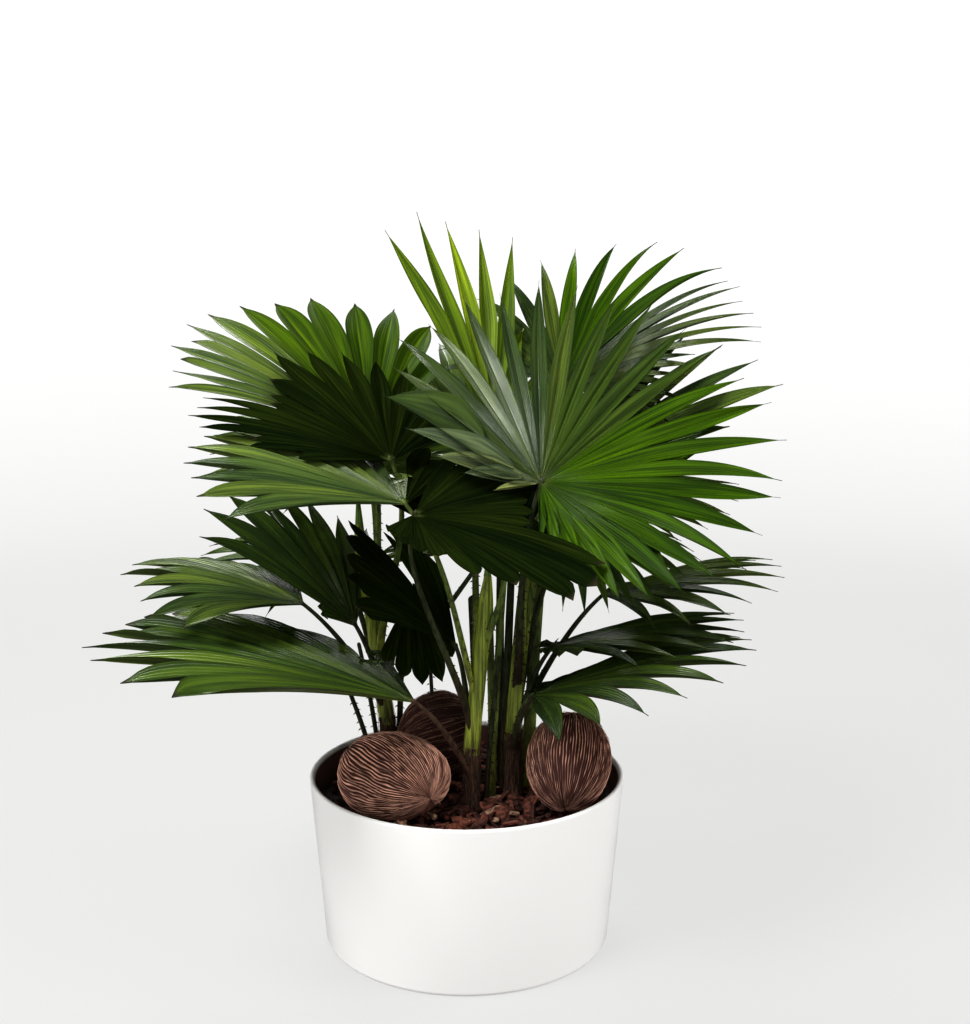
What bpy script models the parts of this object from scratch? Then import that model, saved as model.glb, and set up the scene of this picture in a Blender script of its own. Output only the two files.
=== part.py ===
"""Potted footstool palm: a clump of three short stems in a round white pot, with three
dried seed husks lying on the bark mulch.

Metres, +Z up, +X to the right seen from the front, +Y to the back. The origin is the middle
of the pot's flat underside. Each frond is a petiole and a pleated fan, in nodes of their own.
"""
import math

import bpy
import numpy as np
from mathutils.bvhtree import BVHTree

GAP = 0.0003                # left between two pieces that touch
SIDES = 48                  # facets round the pot

# Pot: a plain tapered cup
POT_HEIGHT = 0.151
POT_RIM_RADIUS = 0.140
POT_FOOT_RADIUS = 0.1275
POT_WALL = 0.0045
POT_FLOOR = 0.006
POT_FOOT_ROUND = 0.004
MULCH_TOP = 0.129

# Stems: fibrous trunk, then the pale sheath of the petioles, then the unopened spear leaf
TRUNK_RADIUS = 0.0064
TRUNK_TOP_RADIUS = 0.0070
TRUNK_FLARE = 1.25          # the trunk's foot is this much wider
SHEATH_TOP_RADIUS = 0.0066
SPEAR_TIP_RADIUS = 0.0008

# Petioles taper from the stem to the fan
PETIOLE_RADIUS = 0.0036
PETIOLE_TIP_RADIUS = 0.0019
PETIOLE_SIDES = 6
PETIOLE_SPANS = 5
PETIOLE_SAMPLES = 240       # along its curve, for cutting it back at the ends
STEM_END = 130              # the most samples cut back at the stem
FAN_END = 40                # and at the fan
PETIOLE_LIFT = 0.25         # how much more upright than its chord it leaves the stem
PETIOLE_FAN_SHARE = 0.35    # how far it turns into the fan's middle line at the hub
PETIOLE_LEADS = (0.35, 0.30)    # lengths of the curve's two handles, in chords

# Fans
FULL_SPREAD = math.radians(155)
BASAL_SHORTER = 0.80        # how much shorter a leaflet at the full spread is
BASAL_FREER = 0.65          # how much less far up such a leaflet is joined
MIDDLE = 0.45               # place of the free leaflet's cross row, in shares of its length
ROW_TAPER = 0.80            # the leaflet's width there, in shares of its width at the notch
SLIM_LEAFLET = 0.030        # half width of a leaflet that is free from the hub, of the reach
CUP = math.radians(8)       # the fan's slight funnel shape
THICKNESS_SHARE = 0.0105    # of the reach
CURVE_STEPS = 24
NOTCH_LIMIT = 0.80          # a shortened leaflet is free at least beyond this share of it
ROW_LIMIT = 0.92            # and its cross row at most this share of the sector's width

# Seed husks: eggs of this half length and half width
HUSK_HALF_LENGTH = 0.049
HUSK_HALF_WIDTH = 0.0375
HUSK_BLUNTNESS = 0.92       # power of the sine; 1 is an ellipse, less is blunter
HUSK_LOPSIDED = 0.07        # how much thicker one half is than the other

# A tube's rings are laid out from this direction, which no tube runs along
TUBE_SEAM = (0.31, 0.95, 0.05)

# name: foot (x, y), sheath foot z, sheath top (x, y, z), spear tip (x, y, z)
STEMS = {
    "centre": ((0.004, -0.026), 0.178, (0.017, -0.030, 0.315), (0.019, -0.030, 0.350)),
    "right": ((0.041, 0.000), 0.182, (0.054, 0.006, 0.335), (0.054, 0.016, 0.380)),
    "left": ((-0.074, 0.054), 0.180, (-0.096, 0.056, 0.345), (-0.099, 0.062, 0.392)),
}

# name: centre (x, y), long axis azimuth and tilt in degrees
HUSKS = {
    "left": ((-0.062, -0.058), 8, -6),
    "right": ((0.0885, -0.0335), 262, -22),
    "back": ((-0.026, 0.054), 85, 8),
}

# Fans in the order in which they are laid out; later ones give way to earlier ones.
# name, stem, height of the petiole's foot, hub (x, y, z), azimuth and rise of the middle leaflet,
# roll of the face to the right, reach, spread left, spread right, leaflets, split, fold, droop
FRONDS = (
    ("01", "right", 0.215, (0.062, -0.055, 0.420), 42, 33, 34, 0.222, 150, 150, 31, 0.50, 0, 0.20),
    ("03", "right", 0.255, (0.088, 0.080, 0.490), 40, 42, 12, 0.197, 100, 100, 18, 0.60, 0, 0.50),
    ("04", "centre", 0.268, (0.025, 0.055, 0.450), 140, 60, -5, 0.215, 20, 90, 10, 0.57, 0, 0.15),
    ("05", "left", 0.250, (-0.085, 0.050, 0.442), 130, 36, -5, 0.203, 62, 62, 11, 0.72, -5, 0.40),
    ("02", "right", 0.232, (0.088, -0.005, 0.415), 5, 22, 35, 0.205, 70, 80, 14, 0.58, 0, 0.25),
    ("07", "centre", 0.226, (-0.050, -0.065, 0.404), 180, 12, -10, 0.190, 50, 120, 15, 0.68, 0, 0.30),
    ("23", "centre", 0.194, (-0.042, -0.083, 0.398), -19, -14, 18, 0.168, 100, 46, 13, 0.85, 0, 0.35),
    ("06", "left", 0.235, (-0.064, -0.015, 0.433), 178, 12, -27, 0.176, 32, 135, 15, 0.66, 0, 0.30),
    ("08", "centre", 0.152, (-0.043, -0.075, 0.238), 181, 12, 4, 0.275, 48, 72, 12, 0.74, 0, 0.34),
    ("09", "right", 0.165, (0.055, -0.050, 0.235), 8, 15, -14, 0.205, 85, 95, 16, 0.60, 8, 0.50),
    ("10", "left", 0.190, (-0.143, 0.000, 0.304), 178, 14, 0, 0.162, 60, 75, 12, 0.70, 5, 0.50),
    ("11", "left", 0.208, (-0.100, 0.032, 0.276), 156, 40, -5, 0.178, 55, 60, 10, 0.70, 5, 0.40),
    ("12", "right", 0.188, (0.125, 0.050, 0.300), 4, 11, -8, 0.172, 75, 85, 14, 0.55, 10, 0.45),
    ("13", "centre", 0.180, (-0.009, -0.002, 0.265), 170, 46, -2, 0.152, 55, 60, 10, 0.84, 5, 0.25),
    ("14", "centre", 0.254, (0.032, -0.046, 0.352), 150, 34, -20, 0.140, 40, 110, 13, 0.74, 0, 0.30),
    ("15", "right", 0.178, (0.076, -0.004, 0.266), 10, 6, -12, 0.180, 95, 80, 15, 0.66, 8, 0.35),
    ("16", "right", 0.205, (0.095, 0.020, 0.360), -15, -5, 15, 0.120, 90, 90, 15, 0.60, 10, 0.80),
    ("17", "left", 0.200, (-0.050, 0.040, 0.305), 280, -50, 0, 0.095, 30, 30, 5, 0.70, 0, 0.30),
    ("18", "centre", 0.235, (0.005, 0.130, 0.430), 95, 30, 0, 0.190, 120, 120, 20, 0.62, 0, 0.50),
    ("19", "right", 0.205, (0.100, 0.140, 0.370), 50, 15, 0, 0.180, 115, 100, 18, 0.62, 5, 0.50),
    ("20", "left", 0.230, (-0.095, 0.150, 0.400), 120, 25, 0, 0.180, 115, 115, 19, 0.62, 5, 0.50),
    ("21", "left", 0.195, (0.020, 0.155, 0.320), 85, 5, 0, 0.165, 95, 95, 16, 0.62, 10, 0.60),
    ("22", "left", 0.200, (-0.125, 0.130, 0.310), 150, 8, 0, 0.150, 95, 95, 16, 0.62, 10, 0.60),
)

# Leaflets that are grown shorter than the rule gives: the most share of it that they reach
STUNTED = {
    ("08", 0): 0.48, ("08", 1): 0.60, ("08", 2): 0.72,
    ("01", 30): 0.60, ("01", 29): 0.48, ("01", 28): 0.60, ("01", 27): 0.72, ("01", 26): 0.86,
}

# What a leaflet that would touch a neighbour tries in turn: its share of the reach, and how
# much more its free part bends down
LEAFLET_TRIES = (
    (1.0, 0.0), (1.0, 0.2), (1.0, -0.2), (1.0, 0.45), (1.0, -0.4), (0.86, 0.0), (0.86, 0.3),
    (0.86, -0.3), (0.72, 0.0), (0.72, 0.3), (0.6, 0.0), (0.48, 0.0), (0.36, 0.0), (0.24, 0.0),
    (0.14, 0.0),
)


def clear_scene():
    """Remove whatever objects the file opened with."""
    for item in list(bpy.data.objects):
        bpy.data.objects.remove(item, do_unlink=True)


def finish_material(name, colour, roughness):
    """A Principled material in one colour."""
    material = bpy.data.materials.new(name)
    material.use_nodes = True
    shader = material.node_tree.nodes["Principled BSDF"]
    shader.inputs["Base Color"].default_value = (*colour, 1.0)
    shader.inputs["Roughness"].default_value = roughness
    return material


def add_piece(name, points, faces, material, smooth_angle=None):
    """One named object from corner points and faces."""
    mesh = bpy.data.meshes.new(name)
    mesh.from_pydata([tuple(map(float, p)) for p in points], [], faces)
    mesh.materials.append(material)
    if smooth_angle is not None:
        mesh.shade_smooth()
        mesh.set_sharp_from_angle(angle=math.radians(smooth_angle))
    mesh.update()
    item = bpy.data.objects.new(name, mesh)
    bpy.context.scene.collection.objects.link(item)
    return item


def turned(profile, sides):
    """Points and faces of a profile (radius, height) turned about Z.

    The first and last profile points lie on the axis; the profile runs from the underside's
    middle outwards and over to the inside.
    """
    angles = np.arange(sides) * 2 * math.pi / sides
    rings = [
        np.column_stack([r * np.cos(angles), r * np.sin(angles), np.full(sides, z)])
        for r, z in profile[1:-1]
    ]
    points = np.vstack([[(0, 0, profile[0][1])], *rings, [(0, 0, profile[-1][1])]])
    last = len(points) - 1
    faces = []
    for i in range(sides):
        j = (i + 1) % sides
        faces.append((0, 1 + j, 1 + i))
        for k in range(len(rings) - 1):
            a, b = 1 + k * sides, 1 + (k + 1) * sides
            faces.append((a + i, a + j, b + j, b + i))
        a = 1 + (len(rings) - 1) * sides
        faces.append((a + i, a + j, last))
    return points, faces


def pot_outer_radius(z):
    """The outer wall's radius at a height."""
    return POT_FOOT_RADIUS + (POT_RIM_RADIUS - POT_FOOT_RADIUS) * z / POT_HEIGHT


def make_pot():
    """A turned cup with a rounded foot and a round lip."""
    profile = [(0.0, 0.0)]
    for step in range(4):
        angle = -math.pi / 2 + step * math.pi / 6
        centre = pot_outer_radius(POT_FOOT_ROUND) - POT_FOOT_ROUND
        profile.append((
            centre + POT_FOOT_ROUND * math.cos(angle),
            POT_FOOT_ROUND + POT_FOOT_ROUND * math.sin(angle),
        ))
    half = POT_WALL / 2
    for step in range(5):
        angle = step * math.pi / 4
        profile.append((
            POT_RIM_RADIUS - half + half * math.cos(angle),
            POT_HEIGHT - half + half * math.sin(angle),
        ))
    profile.append((pot_outer_radius(POT_FLOOR) - POT_WALL, POT_FLOOR))
    profile.append((0.0, POT_FLOOR))
    points, faces = turned(profile, SIDES)
    white = finish_material("pot_white", (0.86, 0.85, 0.83), 0.35)
    return add_piece("pot", points, faces, white, 40)


def make_mulch():
    """The filling of the pot, up to the bark mulch's level."""
    low, high = POT_FLOOR + GAP, MULCH_TOP
    clearance = POT_WALL + 2 * GAP
    profile = [
        (0.0, low),
        (pot_outer_radius(low) - clearance, low),
        (pot_outer_radius(high) - clearance, high),
        (0.0, high),
    ]
    points, faces = turned(profile, SIDES)
    bark = finish_material("mulch_bark", (0.10, 0.035, 0.025), 0.85)
    return add_piece("mulch", points, faces, bark, 40)


def make_husk(name, centre, azimuth, tilt, material):
    """An egg-shaped husk resting on the mulch with its long axis turned and tilted."""
    rings, sides = 9, 16
    t = np.linspace(math.pi, 0, rings + 1)
    along = HUSK_HALF_LENGTH * np.cos(t)
    radius = HUSK_HALF_WIDTH * np.sin(t) ** HUSK_BLUNTNESS * (1 - HUSK_LOPSIDED * np.cos(t))
    points, faces = turned(list(zip(radius, along)), sides)
    turn = math.radians(azimuth)
    lean = math.radians(tilt)
    axis = np.array([math.cos(lean) * math.cos(turn), math.cos(lean) * math.sin(turn),
                     math.sin(lean)])
    side = np.array([-math.sin(turn), math.cos(turn), 0.0])
    points = points @ np.vstack([side, np.cross(axis, side), axis])
    points += (*centre, MULCH_TOP + GAP - points[:, 2].min())
    return add_piece(name, points, faces, material, 60)


def tube(path, radii, sides, level=False):
    """A closed tapering tube along a path, with flat ends; level cuts every ring horizontally."""
    path = np.asarray(path, float)
    tangent = np.gradient(path, axis=0)
    if level:
        tangent[:] = (0, 0, 1)
    tangent /= np.linalg.norm(tangent, axis=1, keepdims=True)
    across = np.cross(tangent, TUBE_SEAM)
    across /= np.linalg.norm(across, axis=1, keepdims=True)
    over = np.cross(tangent, across)
    angle = np.arange(sides) * 2 * math.pi / sides
    ring = np.cos(angle)[None, :, None] * across[:, None] + np.sin(angle)[None, :, None] * over[:, None]
    points = path[:, None] + ring * np.asarray(radii)[:, None, None]
    count = len(path)
    faces = [tuple(range(sides))[::-1], tuple((count - 1) * sides + i for i in range(sides))]
    for k in range(count - 1):
        for i in range(sides):
            j = (i + 1) % sides
            faces.append((k * sides + i, k * sides + j, (k + 1) * sides + j, (k + 1) * sides + i))
    return points.reshape(-1, 3), faces


def stem_axis(name, z):
    """The stem's middle at a height: straight up the trunk, then along the sheath's lean."""
    (x, y), fork, (tx, ty, tz), _ = STEMS[name]
    share = max(0.0, (z - fork) / (tz - fork))
    return np.array([x + (tx - x) * share, y + (ty - y) * share, z])


def make_stem(name, brown, pale, green):
    """Trunk, sheath and spear of one stem, each just clear of the next."""
    _, fork, top, tip = STEMS[name]
    heights = np.linspace(MULCH_TOP + GAP, fork - GAP, 5)
    share = np.linspace(0, 1, 5)
    radii = TRUNK_RADIUS + (TRUNK_TOP_RADIUS - TRUNK_RADIUS) * share
    radii[0] *= TRUNK_FLARE
    pieces = []
    points, faces = tube([stem_axis(name, z) for z in heights], radii, 12, level=True)
    pieces.append(add_piece("trunk_" + name, points, faces, brown, 50))
    heights = np.linspace(fork, top[2], 6)
    radii = np.linspace(TRUNK_TOP_RADIUS, SHEATH_TOP_RADIUS, 6)
    points, faces = tube([stem_axis(name, z) for z in heights], radii, 12, level=True)
    pieces.append(add_piece("sheath_" + name, points, faces, pale, 50))
    start = np.array(top) + (0, 0, GAP)
    share = np.linspace(0, 1, 4)[:, None]
    path = start + (np.array(tip) - start) * share
    radii = SHEATH_TOP_RADIUS * 0.8 * (1 - share[:, 0]) ** 0.8 + SPEAR_TIP_RADIUS
    points, faces = tube(path, radii, 8, level=True)
    pieces.append(add_piece("spear_" + name, points, faces, green, 50))
    return pieces


class Fan:
    """The geometry of one pleated fan: its hub, its axes and the lines of its leaflets."""

    def __init__(self, row):
        (self.name, self.stem, self.foot, hub, azimuth, rise, roll, self.reach,
         left, right, self.count, self.split, fold, self.droop) = row
        self.hub = np.array(hub)
        azimuth, rise, roll, self.fold = np.radians([azimuth, rise, roll, fold])
        self.left, self.right = math.radians(left), math.radians(right)
        self.middle = np.array([math.cos(rise) * math.cos(azimuth),
                                math.cos(rise) * math.sin(azimuth), math.sin(rise)])
        level = np.array([-math.sin(azimuth), math.cos(azimuth), 0.0])
        upright = np.cross(self.middle, level)
        self.face = math.cos(roll) * upright - math.sin(roll) * level
        self.side = np.cross(self.face, self.middle)
        self.pitch = (self.left + self.right) / self.count
        self.thickness = THICKNESS_SHARE * self.reach

    def heading(self, angle):
        """Where a leaflet sets off to: turned in the fan's plane, folded down at the sides
        like a roof, and cupped."""
        angle = np.asarray(angle, float)[..., None]
        flat = (np.cos(angle) * self.middle + np.sin(angle) * math.cos(self.fold) * self.side
                - np.abs(np.sin(angle)) * math.sin(self.fold) * self.face)
        return math.cos(CUP) * flat + math.sin(CUP) * self.face

    def length(self, angle):
        """A leaflet's length: the further from the middle one, the shorter."""
        return self.reach * (1 - BASAL_SHORTER * (np.abs(angle) / FULL_SPREAD) ** 2.5)

    def notch(self, angle):
        """The share of the length up to which the leaflets are joined."""
        return self.split * (1 - BASAL_FREER * (np.abs(angle) / FULL_SPREAD) ** 3)

    def line(self, angle, end, bend=0.0):
        """Points, headings and across directions along leaflets, from the hub to a share of
        the reach. Gravity pulls the heading down with the square of the share, and bend adds
        to that past the split."""
        angle = np.atleast_1d(np.asarray(angle, float))
        end = np.broadcast_to(np.asarray(end, float), angle.shape)
        share = (np.arange(CURVE_STEPS) + 0.5) / CURVE_STEPS * end[:, None]
        pull = self.droop * share ** 2 + bend * np.maximum(0, share - self.split)
        heading = self.heading(angle)[:, None] - pull[..., None] * np.array([0, 0, 1.0])
        heading /= np.linalg.norm(heading, axis=2, keepdims=True)
        step = (self.length(angle) * end / CURVE_STEPS)[:, None, None]
        points = self.hub + np.cumsum(heading * step, axis=1)
        small = 0.01
        across = self.heading(angle + small) - self.heading(angle - small)
        across /= np.linalg.norm(across, axis=1, keepdims=True)
        return points, heading, across

    def spot(self, angle, share, bend=0.0, offset=0.0):
        """Upper and lower point of the blade at an angle and a share of the reach, moved
        sideways by offset."""
        points, heading, across = self.line([angle], share, bend)
        normal = np.cross(heading[0, -1], across[0])
        normal /= np.linalg.norm(normal)
        sideways = np.cross(normal, heading[0, -1])
        place = points[0, -1] + offset * sideways
        return place + normal * self.thickness / 2, place - normal * self.thickness / 2

    def leaflet_angle(self, index):
        """The angle of a leaflet's rib, counted from the right edge."""
        return -self.right + (index + 0.5) * self.pitch

    def edge_angle(self, index):
        """The angle of the fold between two leaflets, counted from the right edge."""
        return -self.right + index * self.pitch

    def half_width(self, angle, notch, row):
        """Half the free leaflet's width at its cross row."""
        sector = self.length(angle) * math.sin(self.pitch / 2)
        wide = max(ROW_TAPER * notch * sector, SLIM_LEAFLET * self.reach)
        return min(wide, ROW_LIMIT * row * sector)

    def solid(self, indices, shares, bends):
        """Points and faces of a run of leaflets as one closed blade."""
        count = len(indices)
        notch = [shares[0], *[min(a, b) for a, b in zip(shares, shares[1:])], shares[-1]]
        notch = [min(self.notch(self.edge_angle(indices[0] + k)), NOTCH_LIMIT * value)
                 for k, value in enumerate(notch)]
        points, faces = [], []

        def add(pair):
            points.extend(pair)
            return len(points) - 2

        top = self.hub + self.face * self.thickness / 2
        hub = add((top, top - self.face * self.thickness))
        inner = [add(self.spot(self.edge_angle(indices[0] + k), 0.5 * notch[k]))
                 for k in range(count + 1)]
        outer = [add(self.spot(self.edge_angle(indices[0] + k), notch[k]))
                 for k in range(count + 1)]

        def skin(*loop):
            faces.append(tuple(loop))
            faces.append(tuple(v + 1 for v in reversed(loop)))

        def wall(a, b):
            faces.append((a, a + 1, b + 1))
            faces.append((a, b + 1, b))

        for k, index in enumerate(indices):
            angle = self.leaflet_angle(index)
            base = (notch[k] + notch[k + 1]) / 2
            row = base + MIDDLE * (shares[k] - base)
            width = self.half_width(angle, base, row)
            right = add(self.spot(angle, row, bends[k], -width))
            left = add(self.spot(angle, row, bends[k], width))
            tip = add(self.spot(angle, shares[k], bends[k]))
            skin(hub, inner[k], inner[k + 1])
            skin(inner[k], outer[k], outer[k + 1])
            skin(inner[k], outer[k + 1], inner[k + 1])
            skin(outer[k], right, left)
            skin(outer[k], left, outer[k + 1])
            skin(right, tip, left)
            wall(outer[k], right)
            wall(right, tip)
            wall(tip, left)
            wall(left, outer[k + 1])
        wall(hub, inner[0])
        wall(inner[0], outer[0])
        wall(outer[-1], inner[-1])
        wall(inner[-1], hub)
        return np.array(points), faces


def tree_of(points, faces):
    """A search tree of one closed mesh."""
    return BVHTree.FromPolygons([tuple(p) for p in points], faces, epsilon=0.0)


def petiole_curve(fan):
    """A cubic curve from the stem's middle to the fan's hub."""
    start = stem_axis(fan.stem, fan.foot)
    chord = fan.hub - start
    length = np.linalg.norm(chord)
    leave = chord / length + np.array([0, 0, PETIOLE_LIFT])
    arrive = (1 - PETIOLE_FAN_SHARE) * chord / length + PETIOLE_FAN_SHARE * fan.middle
    first = start + PETIOLE_LEADS[0] * length * leave / np.linalg.norm(leave)
    second = fan.hub - PETIOLE_LEADS[1] * length * arrive / np.linalg.norm(arrive)
    t = np.linspace(0, 1, PETIOLE_SAMPLES + 1)[:, None]
    return ((1 - t) ** 3 * start + 3 * t * (1 - t) ** 2 * first
            + 3 * t ** 2 * (1 - t) * second + t ** 3 * fan.hub)


def petiole_tube(curve, first, last, extra=0.0):
    """The petiole's tube between two samples of its curve, fatter and longer by extra."""
    picks = np.linspace(first, last, PETIOLE_SPANS + 1).round().astype(int)
    path = curve[picks].copy()
    share = picks / PETIOLE_SAMPLES
    radii = PETIOLE_RADIUS + (PETIOLE_TIP_RADIUS - PETIOLE_RADIUS) * share + extra
    if extra:
        for end, inner in ((0, 1), (-1, -2)):
            away = path[end] - path[inner]
            path[end] += away / np.linalg.norm(away) * extra
    return tube(path, radii, PETIOLE_SIDES)


def make_petiole(fan, stem_tree, material):
    """The petiole, cut back at both ends until it is just clear of its stem and its fan."""
    curve = petiole_curve(fan)
    everything = list(range(fan.count))
    fan_tree = tree_of(*fan.solid(everything, [1.0] * fan.count, [0.0] * fan.count))
    first, last = 0, PETIOLE_SAMPLES
    inner, outer = STEM_END, PETIOLE_SAMPLES - FAN_END
    while last > outer and fan_tree.overlap(tree_of(*petiole_tube(curve, inner, last, GAP))):
        last -= 1
    while first < inner and stem_tree.overlap(tree_of(*petiole_tube(curve, first, outer, GAP))):
        first += 1
    points, faces = petiole_tube(curve, first, last)
    add_piece("petiole_" + fan.name, points, faces, material, 60)
    return tree_of(points, faces)


def settle_leaflets(fan, obstacles):
    """For each leaflet, the first try that touches nothing laid out before."""
    shares, bends = [], []
    for index in range(fan.count):
        most = STUNTED.get((fan.name, index), 1.0)
        for share, bend in [row for row in LEAFLET_TRIES if row[0] <= most]:
            probe = tree_of(*fan.solid([index], [share], [bend]))
            if not any(probe.overlap(other) for other in obstacles):
                break
        shares.append(share)
        bends.append(bend)
    return shares, bends


def build():
    """The whole plant in its pot."""
    clear_scene()
    brown = finish_material("trunk_fibre", (0.16, 0.09, 0.05), 0.9)
    pale = finish_material("sheath_green", (0.34, 0.38, 0.08), 0.5)
    stalk = finish_material("petiole_green", (0.20, 0.27, 0.07), 0.5)
    spear = finish_material("spear_green", (0.25, 0.35, 0.08), 0.45)
    shell = finish_material("husk_fibre", (0.26, 0.13, 0.08), 0.8)
    leaf = finish_material("leaf_green", (0.07, 0.20, 0.03), 0.4)

    solids = [make_pot(), make_mulch()]
    for name, (centre, azimuth, tilt) in HUSKS.items():
        solids.append(make_husk("husk_" + name, centre, azimuth, tilt, shell))
    stems = {name: make_stem(name, brown, pale, spear) for name in STEMS}
    obstacles = []
    stem_trees = {}
    for item in [*solids, *[piece for group in stems.values() for piece in group]]:
        corners = [tuple(v.co) for v in item.data.vertices]
        polygons = [tuple(p.vertices) for p in item.data.polygons]
        obstacles.append(tree_of(corners, polygons))
    for name, group in stems.items():
        corners, polygons = [], []
        for item in group:
            base = len(corners)
            corners += [tuple(v.co) for v in item.data.vertices]
            polygons += [tuple(base + v for v in p.vertices) for p in item.data.polygons]
        stem_trees[name] = tree_of(corners, polygons)

    fans = [Fan(row) for row in FRONDS]
    for fan in fans:
        obstacles.append(make_petiole(fan, stem_trees[fan.stem], stalk))
    for fan in fans:
        shares, bends = settle_leaflets(fan, obstacles)
        points, faces = fan.solid(list(range(fan.count)), shares, bends)
        add_piece("fan_" + fan.name, points, faces, leaf)
        obstacles.append(tree_of(points, faces))


build()
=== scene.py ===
"""Potted footstool palm: the finished surfaces of the pot, the mulch, the seed husks, the
stems, the thorny petioles and the pleated fans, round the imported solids."""
import math

import bpy
import numpy as np
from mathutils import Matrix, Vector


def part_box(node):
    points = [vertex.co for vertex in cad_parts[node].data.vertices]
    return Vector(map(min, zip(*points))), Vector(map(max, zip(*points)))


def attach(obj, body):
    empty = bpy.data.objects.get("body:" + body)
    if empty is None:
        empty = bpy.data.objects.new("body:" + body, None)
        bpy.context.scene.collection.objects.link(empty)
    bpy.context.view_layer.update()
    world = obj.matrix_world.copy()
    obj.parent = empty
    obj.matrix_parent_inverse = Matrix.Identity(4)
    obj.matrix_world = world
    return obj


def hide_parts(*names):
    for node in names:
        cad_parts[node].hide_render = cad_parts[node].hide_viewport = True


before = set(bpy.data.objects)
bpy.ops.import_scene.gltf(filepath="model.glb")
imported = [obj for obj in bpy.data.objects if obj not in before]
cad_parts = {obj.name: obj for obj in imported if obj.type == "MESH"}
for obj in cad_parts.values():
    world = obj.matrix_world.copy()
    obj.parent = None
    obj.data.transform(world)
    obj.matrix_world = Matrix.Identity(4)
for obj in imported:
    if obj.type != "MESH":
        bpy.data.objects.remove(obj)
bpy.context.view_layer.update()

# Pot
# A plain tapered cup, moulded in one piece in white plastic with a satin skin. Its lip is
# rounded, and the rim has a few faint scuffs from handling.
POT_FOOT_RADIUS = 0.1275
POT_WALL = 0.0045
POT_FLOOR = 0.006
POT_FOOT_ROUND = 0.004
POT_SIDES = 192
FOOT_STEPS = 9
LIP_STEPS = 17
POT_WHITE = (0.78, 0.77, 0.756)
POT_SCUFF = (0.30, 0.29, 0.28)
# the inside is dark brown, up to a ragged line near the lip
POT_INSIDE_BROWN = (0.110, 0.056, 0.044)
POT_REFLECTANCE = 0.15
SCUFFS_FROM = 0.011         # how far below the lip the scuffs start
SCUFFS_TO = 0.004           # and where they are at their strongest
INSIDE_EDGE_RAGGED = 0.004
INSIDE_EDGE_FADE = 0.003
pot_rim_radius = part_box("pot")[1][0]
pot_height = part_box("pot")[1][2]


def skin_rings(rings):
    """A closed skin over a stack of rings, an array (ring, corner, xyz) whose corners run
    counterclockwise about the way the stack goes. A fan of triangles round the ring's middle
    closes each end."""
    count, sides = rings.shape[:2]
    points = np.vstack([rings.reshape(-1, 3), rings[0].mean(axis=0), rings[-1].mean(axis=0)])
    corner = np.arange(sides)
    after = np.roll(corner, -1)
    start = np.arange(count - 1)[:, None] * sides
    quads = np.stack([start + corner, start + after,
                      start + sides + after, start + sides + corner], axis=-1).reshape(-1, 4)
    last = (count - 1) * sides
    tris = np.vstack([
        np.column_stack([np.full(sides, count * sides), after, corner]),
        np.column_stack([np.full(sides, count * sides + 1), last + corner, last + after]),
    ])
    return points, quads, tris


def put_piece(name, skins, material, nodes=(), marks=None, crease=60):
    """One mesh object from closed skins of points, quads and triangles, in the frame's own
    metres. marks are values for each point, which the material reads by name; crease is the
    angle in degrees past which an edge stays sharp."""
    starts = np.cumsum([0] + [len(skin[0]) for skin in skins[:-1]])
    points = np.vstack([skin[0] for skin in skins])
    quads = np.vstack([skin[1] + start for skin, start in zip(skins, starts)])
    tris = np.vstack([skin[2] + start for skin, start in zip(skins, starts)])
    mesh = bpy.data.meshes.new(name)
    mesh.from_pydata(points, [], quads.tolist() + tris.tolist())
    for mark, values in (marks or {}).items():
        attribute = mesh.attributes.new(mark, "FLOAT", "POINT")
        attribute.data.foreach_set("value", np.asarray(values, np.float32))
    mesh.materials.append(material)
    mesh.shade_smooth()
    mesh.set_sharp_from_angle(angle=math.radians(crease))
    piece = bpy.data.objects.new(name, mesh)
    bpy.context.scene.collection.objects.link(piece)
    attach(piece, "root")
    if nodes:
        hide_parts(*nodes)


def turn_profile(profile, sides):
    """Rings of a profile of (radius, height) turned about Z."""
    angle = np.arange(sides) * 2 * math.pi / sides
    radius, height = np.asarray(profile, float).T
    return np.stack([radius[:, None] * np.cos(angle), radius[:, None] * np.sin(angle),
                     np.repeat(height[:, None], sides, axis=1)], axis=-1)


def start_material(name, colour, roughness):
    """A material with one Principled shader of a colour and a roughness."""
    material = bpy.data.materials.new(name)
    material.use_nodes = True
    shader = material.node_tree.nodes["Principled BSDF"]
    shader.inputs["Base Color"].default_value = (*colour, 1.0)
    shader.inputs["Roughness"].default_value = roughness
    return material, material.node_tree, shader


def add_node(tree, kind, sockets=None, **settings):
    """A node of a kind; sockets are set to a value or linked, and settings are its own."""
    node = tree.nodes.new(kind)
    for key, value in settings.items():
        setattr(node, key, value)
    for key, value in (sockets or {}).items():
        if isinstance(value, bpy.types.NodeSocket):
            tree.links.new(value, node.inputs[key])
        else:
            node.inputs[key].default_value = value
    return node


def place(tree, scale=(1, 1, 1)):
    """Object coordinates, scaled for a pattern."""
    coords = add_node(tree, "ShaderNodeTexCoord")
    mapping = add_node(tree, "ShaderNodeMapping", {
        "Vector": coords.outputs["Object"], "Scale": scale})
    return mapping.outputs["Vector"]


def mottle(tree, fineness, detail, crowded=(1, 1, 1)):
    """Cloudy noise from 0 to 1 over the piece; crowded makes it finer still along each axis."""
    node = add_node(tree, "ShaderNodeTexNoise", {
        "Vector": place(tree, crowded), "Scale": fineness, "Detail": detail})
    return node.outputs["Fac"]


def read_mark(tree, name):
    """A value that the piece's points carry under a name."""
    return add_node(tree, "ShaderNodeAttribute", attribute_name=name).outputs["Fac"]


def ramp(tree, value, low, high, start=0.0, end=1.0):
    """A value's smooth way from start to end while it goes from low to high."""
    node = add_node(tree, "ShaderNodeMapRange", {
        "Value": value, "From Min": low, "From Max": high, "To Min": start, "To Max": end},
        interpolation_type="SMOOTHSTEP")
    return node.outputs["Result"]


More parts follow.
